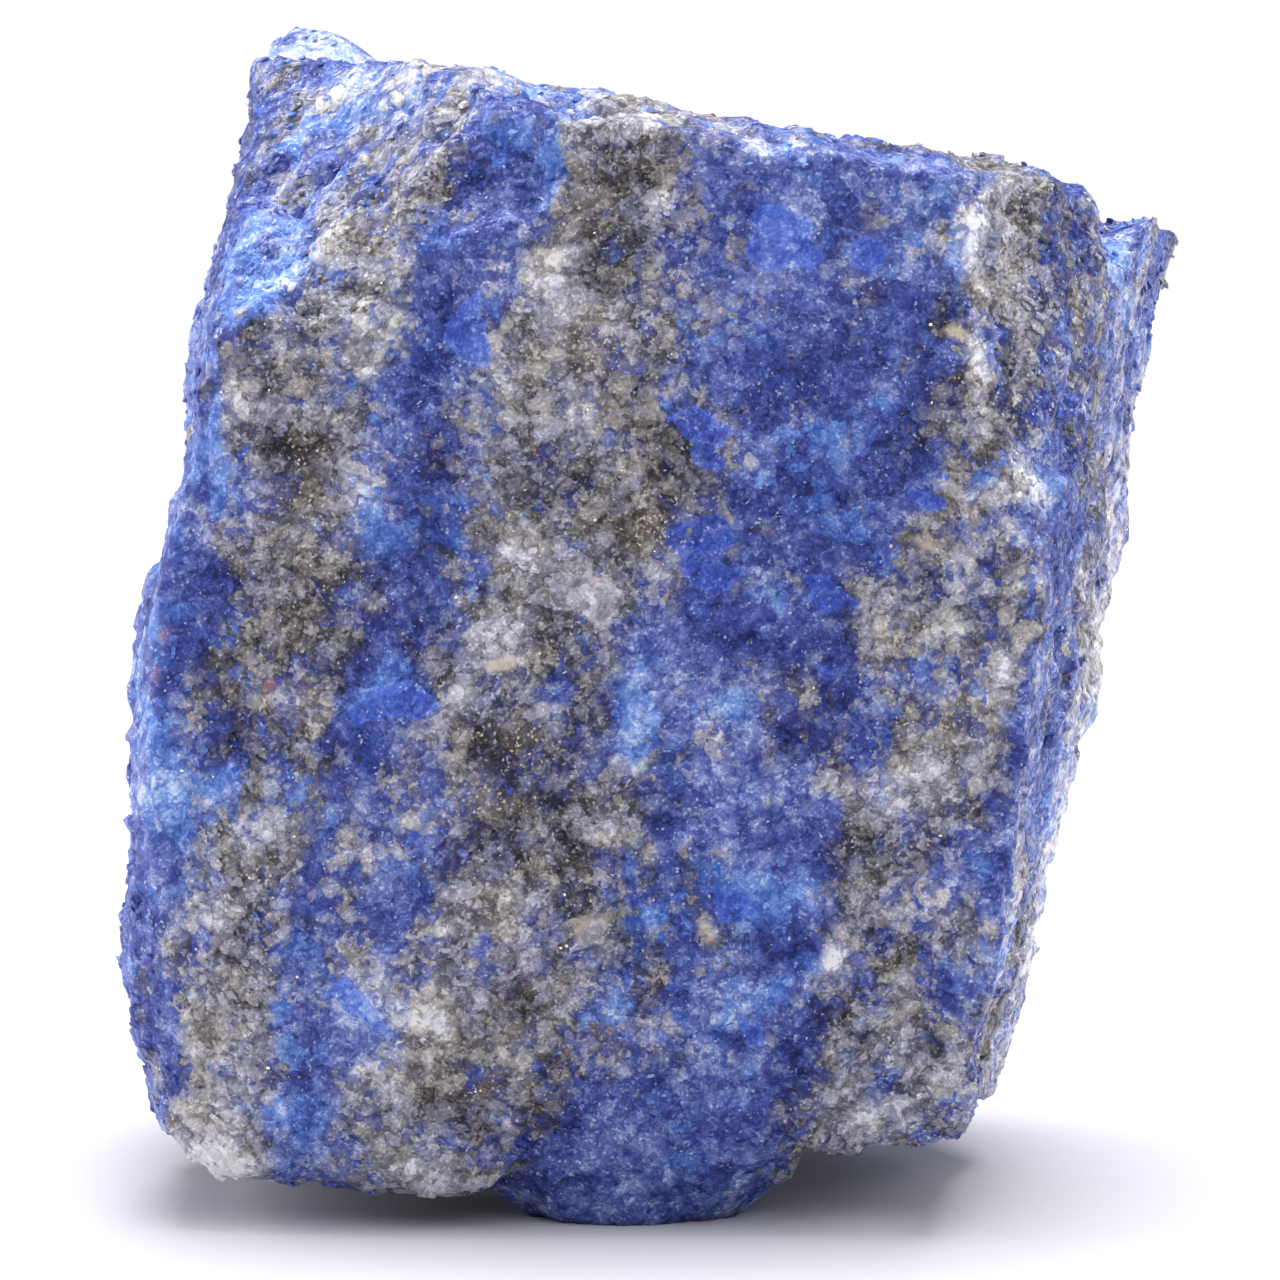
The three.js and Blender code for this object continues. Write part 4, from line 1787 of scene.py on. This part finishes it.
@dataclass(frozen=True)
class PyriteGrains:
    """Small brassy grains, a little more than half sunk, thickest in the stone's grey beds."""

    stone: Stone
    tries: int = 34000
    seed: int = 5
    least: float = 0.018
    most: float = 0.056
    smallness: float = 3.2
    sunk: float = 0.25
    lowest: float = 0.4
    clump_size: float = 0.9
    clump_seed: int = 401
    clump_from: float = 0.55
    flake_share: float = 0.1

    def build(self) -> bpy.types.Object:
        """Makes all grains as one joined mesh of small leaning boxes."""
        random = np.random.default_rng(self.seed)
        directions = self.stone.grid.sprinkled(random, self.tries)
        spots, fields = self.stone.skin(directions)
        liking = 0.18 * np.clip(fields["grey"], 0, 1) + 0.40 * fields["gold"]
        liking *= np.clip(fields["grey"] + 0.15, 0.08, 1)
        liking *= np.where(fields["flake"] > AT_FLAKE, self.flake_share, 1.0)
        clumps = scatter(np.floor(spots / self.clump_size), self.clump_seed)
        clumped = 0.4 + 0.9 * (clumps > self.clump_from)
        kept = random.random(self.tries) < liking * clumped
        kept &= spots[:, 2] > self.lowest
        spots = spots[kept]
        shares = random.random(len(spots)) ** self.smallness
        sizes = self.least + (self.most - self.least) * shares
        turns = random_turns(random, len(spots))
        corner = np.array(list(np.ndindex(2, 2, 2))) - 0.5
        stretch = 0.7 + 0.6 * random.random((len(spots), 1, 3))
        shape = corner[None] * stretch * sizes[:, None, None] * 2
        points = np.einsum("nij,nkj->nki", turns, shape)
        points += (spots - directions[kept] * (sizes * self.sunk)[:, None])[:, None]
        quads = np.array(
            [[0, 1, 3, 2], [4, 6, 7, 5], [0, 4, 5, 1], [2, 3, 7, 6], [0, 2, 6, 4], [1, 5, 7, 3]]
        )
        faces = (quads[None] + 8 * np.arange(len(spots))[:, None, None]).reshape(-1, 4)
        grains = mesh_object("pyrite_grains", points.reshape(-1, 3), faces, smooth=False)
        grains.data.materials.append(PyriteFinish().material())
        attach(grains, BODY)
        return grains


def random_turns(random: np.random.Generator, count: int) -> np.ndarray:
    """Turning matrices, count by 3 by 3, from random quaternions."""
    q = random.normal(size=(count, 4))
    w, x, y, z = (q / np.linalg.norm(q, axis=1)[:, None]).T
    rows = (
        (1 - 2 * (y * y + z * z), 2 * (x * y - z * w), 2 * (x * z + y * w)),
        (2 * (x * y + z * w), 1 - 2 * (x * x + z * z), 2 * (y * z - x * w)),
        (2 * (x * z - y * w), 2 * (y * z + x * w), 1 - 2 * (x * x + y * y)),
    )
    return np.stack([np.stack(row, -1) for row in rows], 1)


# ------------------------------------------------------------------------------- the studio


@dataclass(frozen=True)
class Viewpoint:
    """The camera: where it looks, from how far, and how much it takes in."""

    target: tuple[float, float, float] = (0.0, 0.0, 23.2)
    elevation: float = 7.0
    distance: float = 320.0
    focal_pixels: float = 7424.0
    frame_pixels: float = 1280.0
    sensor_width: float = 36.0

    def build(self) -> bpy.types.Object:
        """Makes the camera and gives it to the scene."""
        data = bpy.data.cameras.new("camera")
        data.sensor_width = self.sensor_width
        data.lens = self.sensor_width * self.focal_pixels / self.frame_pixels
        data.clip_start = 0.01
        data.clip_end = 50.0
        camera = bpy.data.objects.new("camera", data)
        back = towards(-90, self.elevation)
        camera.location = Vector((np.array(self.target) + back * self.distance) * MM)
        camera.rotation_euler = Vector(-back).to_track_quat("-Z", "Y").to_euler()
        bpy.context.scene.collection.objects.link(camera)
        bpy.context.scene.camera = camera
        return camera


@dataclass(frozen=True)
class SoftBox:
    """A square lamp that looks at the stone."""

    name: str
    azimuth: float
    elevation: float
    distance: float
    width: float
    watts: float
    aim: tuple[float, float, float] = (0.0, 0.0, 22.0)

    def build(self) -> bpy.types.Object:
        """Makes the lamp, turned to the middle of the stone."""
        data = bpy.data.lights.new(self.name, "AREA")
        data.energy = self.watts
        data.size = self.width * MM
        lamp = bpy.data.objects.new(self.name, data)
        away = towards(self.azimuth, self.elevation)
        lamp.location = Vector((np.array(self.aim) + away * self.distance) * MM)
        lamp.rotation_euler = Vector(-away).to_track_quat("-Z", "Y").to_euler()
        bpy.context.scene.collection.objects.link(lamp)
        return lamp


@dataclass(frozen=True)
class Skylight:
    """Soft even light from far off, the same all over the floor."""

    name: str
    azimuth: float
    elevation: float
    spread: float
    strength: float

    def build(self) -> bpy.types.Object:
        """Makes the lamp."""
        data = bpy.data.lights.new(self.name, "SUN")
        data.energy = self.strength
        data.angle = math.radians(self.spread)
        lamp = bpy.data.objects.new(self.name, data)
        away = towards(self.azimuth, self.elevation)
        lamp.rotation_euler = Vector(-away).to_track_quat("-Z", "Y").to_euler()
        bpy.context.scene.collection.objects.link(lamp)
        return lamp


@dataclass(frozen=True)
class Studio:
    """A pale floor, a white surround, two skylights and a soft box on either side."""

    floor_half: float = 2500.0
    floor_colour: Colour = (0.625, 0.612, 0.660)
    floor_roughness: float = 0.7
    floor_specular: float = 0.2
    surround: float = 0.028
    surround_tint: Colour = (0.72, 0.78, 1.0)
    lamps: tuple[Skylight | SoftBox, ...] = (
        Skylight("skylight", 77, 78, 42, 4.5),
        Skylight("fill", -84, 52, 60, 1.65),
        SoftBox("left_box", 165, 18, 300, 260, 1.0),
        SoftBox("right_box", 12, 18, 300, 260, 0.5),
    )

    def build(self) -> None:
        """Makes the floor, the surround and the lamps."""
        half = self.floor_half
        corners = np.array(
            [[-half, -half, 0], [half, -half, 0], [half, half, 0], [-half, half, 0]]
        )
        floor = mesh_object("floor", corners, np.array([[0, 1, 2, 3]]), smooth=False)
        paint = bpy.data.materials.new("floor_paint")
        paint.use_nodes = True
        shader = paint.node_tree.nodes["Principled BSDF"]
        shader.inputs["Base Color"].default_value = opaque(self.floor_colour)
        shader.inputs["Roughness"].default_value = self.floor_roughness
        shader.inputs["Specular IOR Level"].default_value = self.floor_specular
        floor.data.materials.append(paint)
        self._surround()
        for lamp in self.lamps:
            lamp.build()
        view = bpy.context.scene.view_settings
        view.view_transform = "Standard"
        view.look = "None"

    def _surround(self) -> None:
        """White all round, and dimmer as a lamp than it looks, so that faces keep shade."""
        world = bpy.data.worlds.new("surround")
        world.use_nodes = True
        bpy.context.scene.world = world
        sheet = Sheet(world.node_tree)
        seen = sheet.add("ShaderNodeBackground")
        seen.inputs["Color"].default_value = (1.0, 1.0, 1.0, 1.0)
        seen.inputs["Strength"].default_value = 1.0
        lamp = sheet.add("ShaderNodeBackground")
        lamp.inputs["Color"].default_value = opaque(self.surround_tint)
        lamp.inputs["Strength"].default_value = self.surround
        path = sheet.add("ShaderNodeLightPath")
        both = sheet.add("ShaderNodeMixShader")
        sheet.feed(both.inputs[0], path.outputs["Is Camera Ray"])
        sheet.feed(both.inputs[1], lamp.outputs[0])
        sheet.feed(both.inputs[2], seen.outputs[0])
        output = sheet.add("ShaderNodeOutputWorld")
        sheet.feed(output.inputs["Surface"], both.outputs[0])


def main() -> None:
    """Builds the camera, the stone, its grains and the studio, in that order."""
    logging.basicConfig(level=logging.INFO, format="%(name)s: %(message)s")
    Viewpoint().build()
    stone = Stone()
    makers = (
        stone,
        CrystalGrains(stone, "calcite_grains", calcite=True, seed=11),
        CrystalGrains(stone, "lazurite_grains", calcite=False, seed=17),
        PyriteGrains(stone),
    )
    for maker in makers:
        piece = maker.build()
        LOG.info("%s: %d faces", piece.name, len(piece.data.polygons))
    Studio().build()


if __name__ == "__main__":
    main()
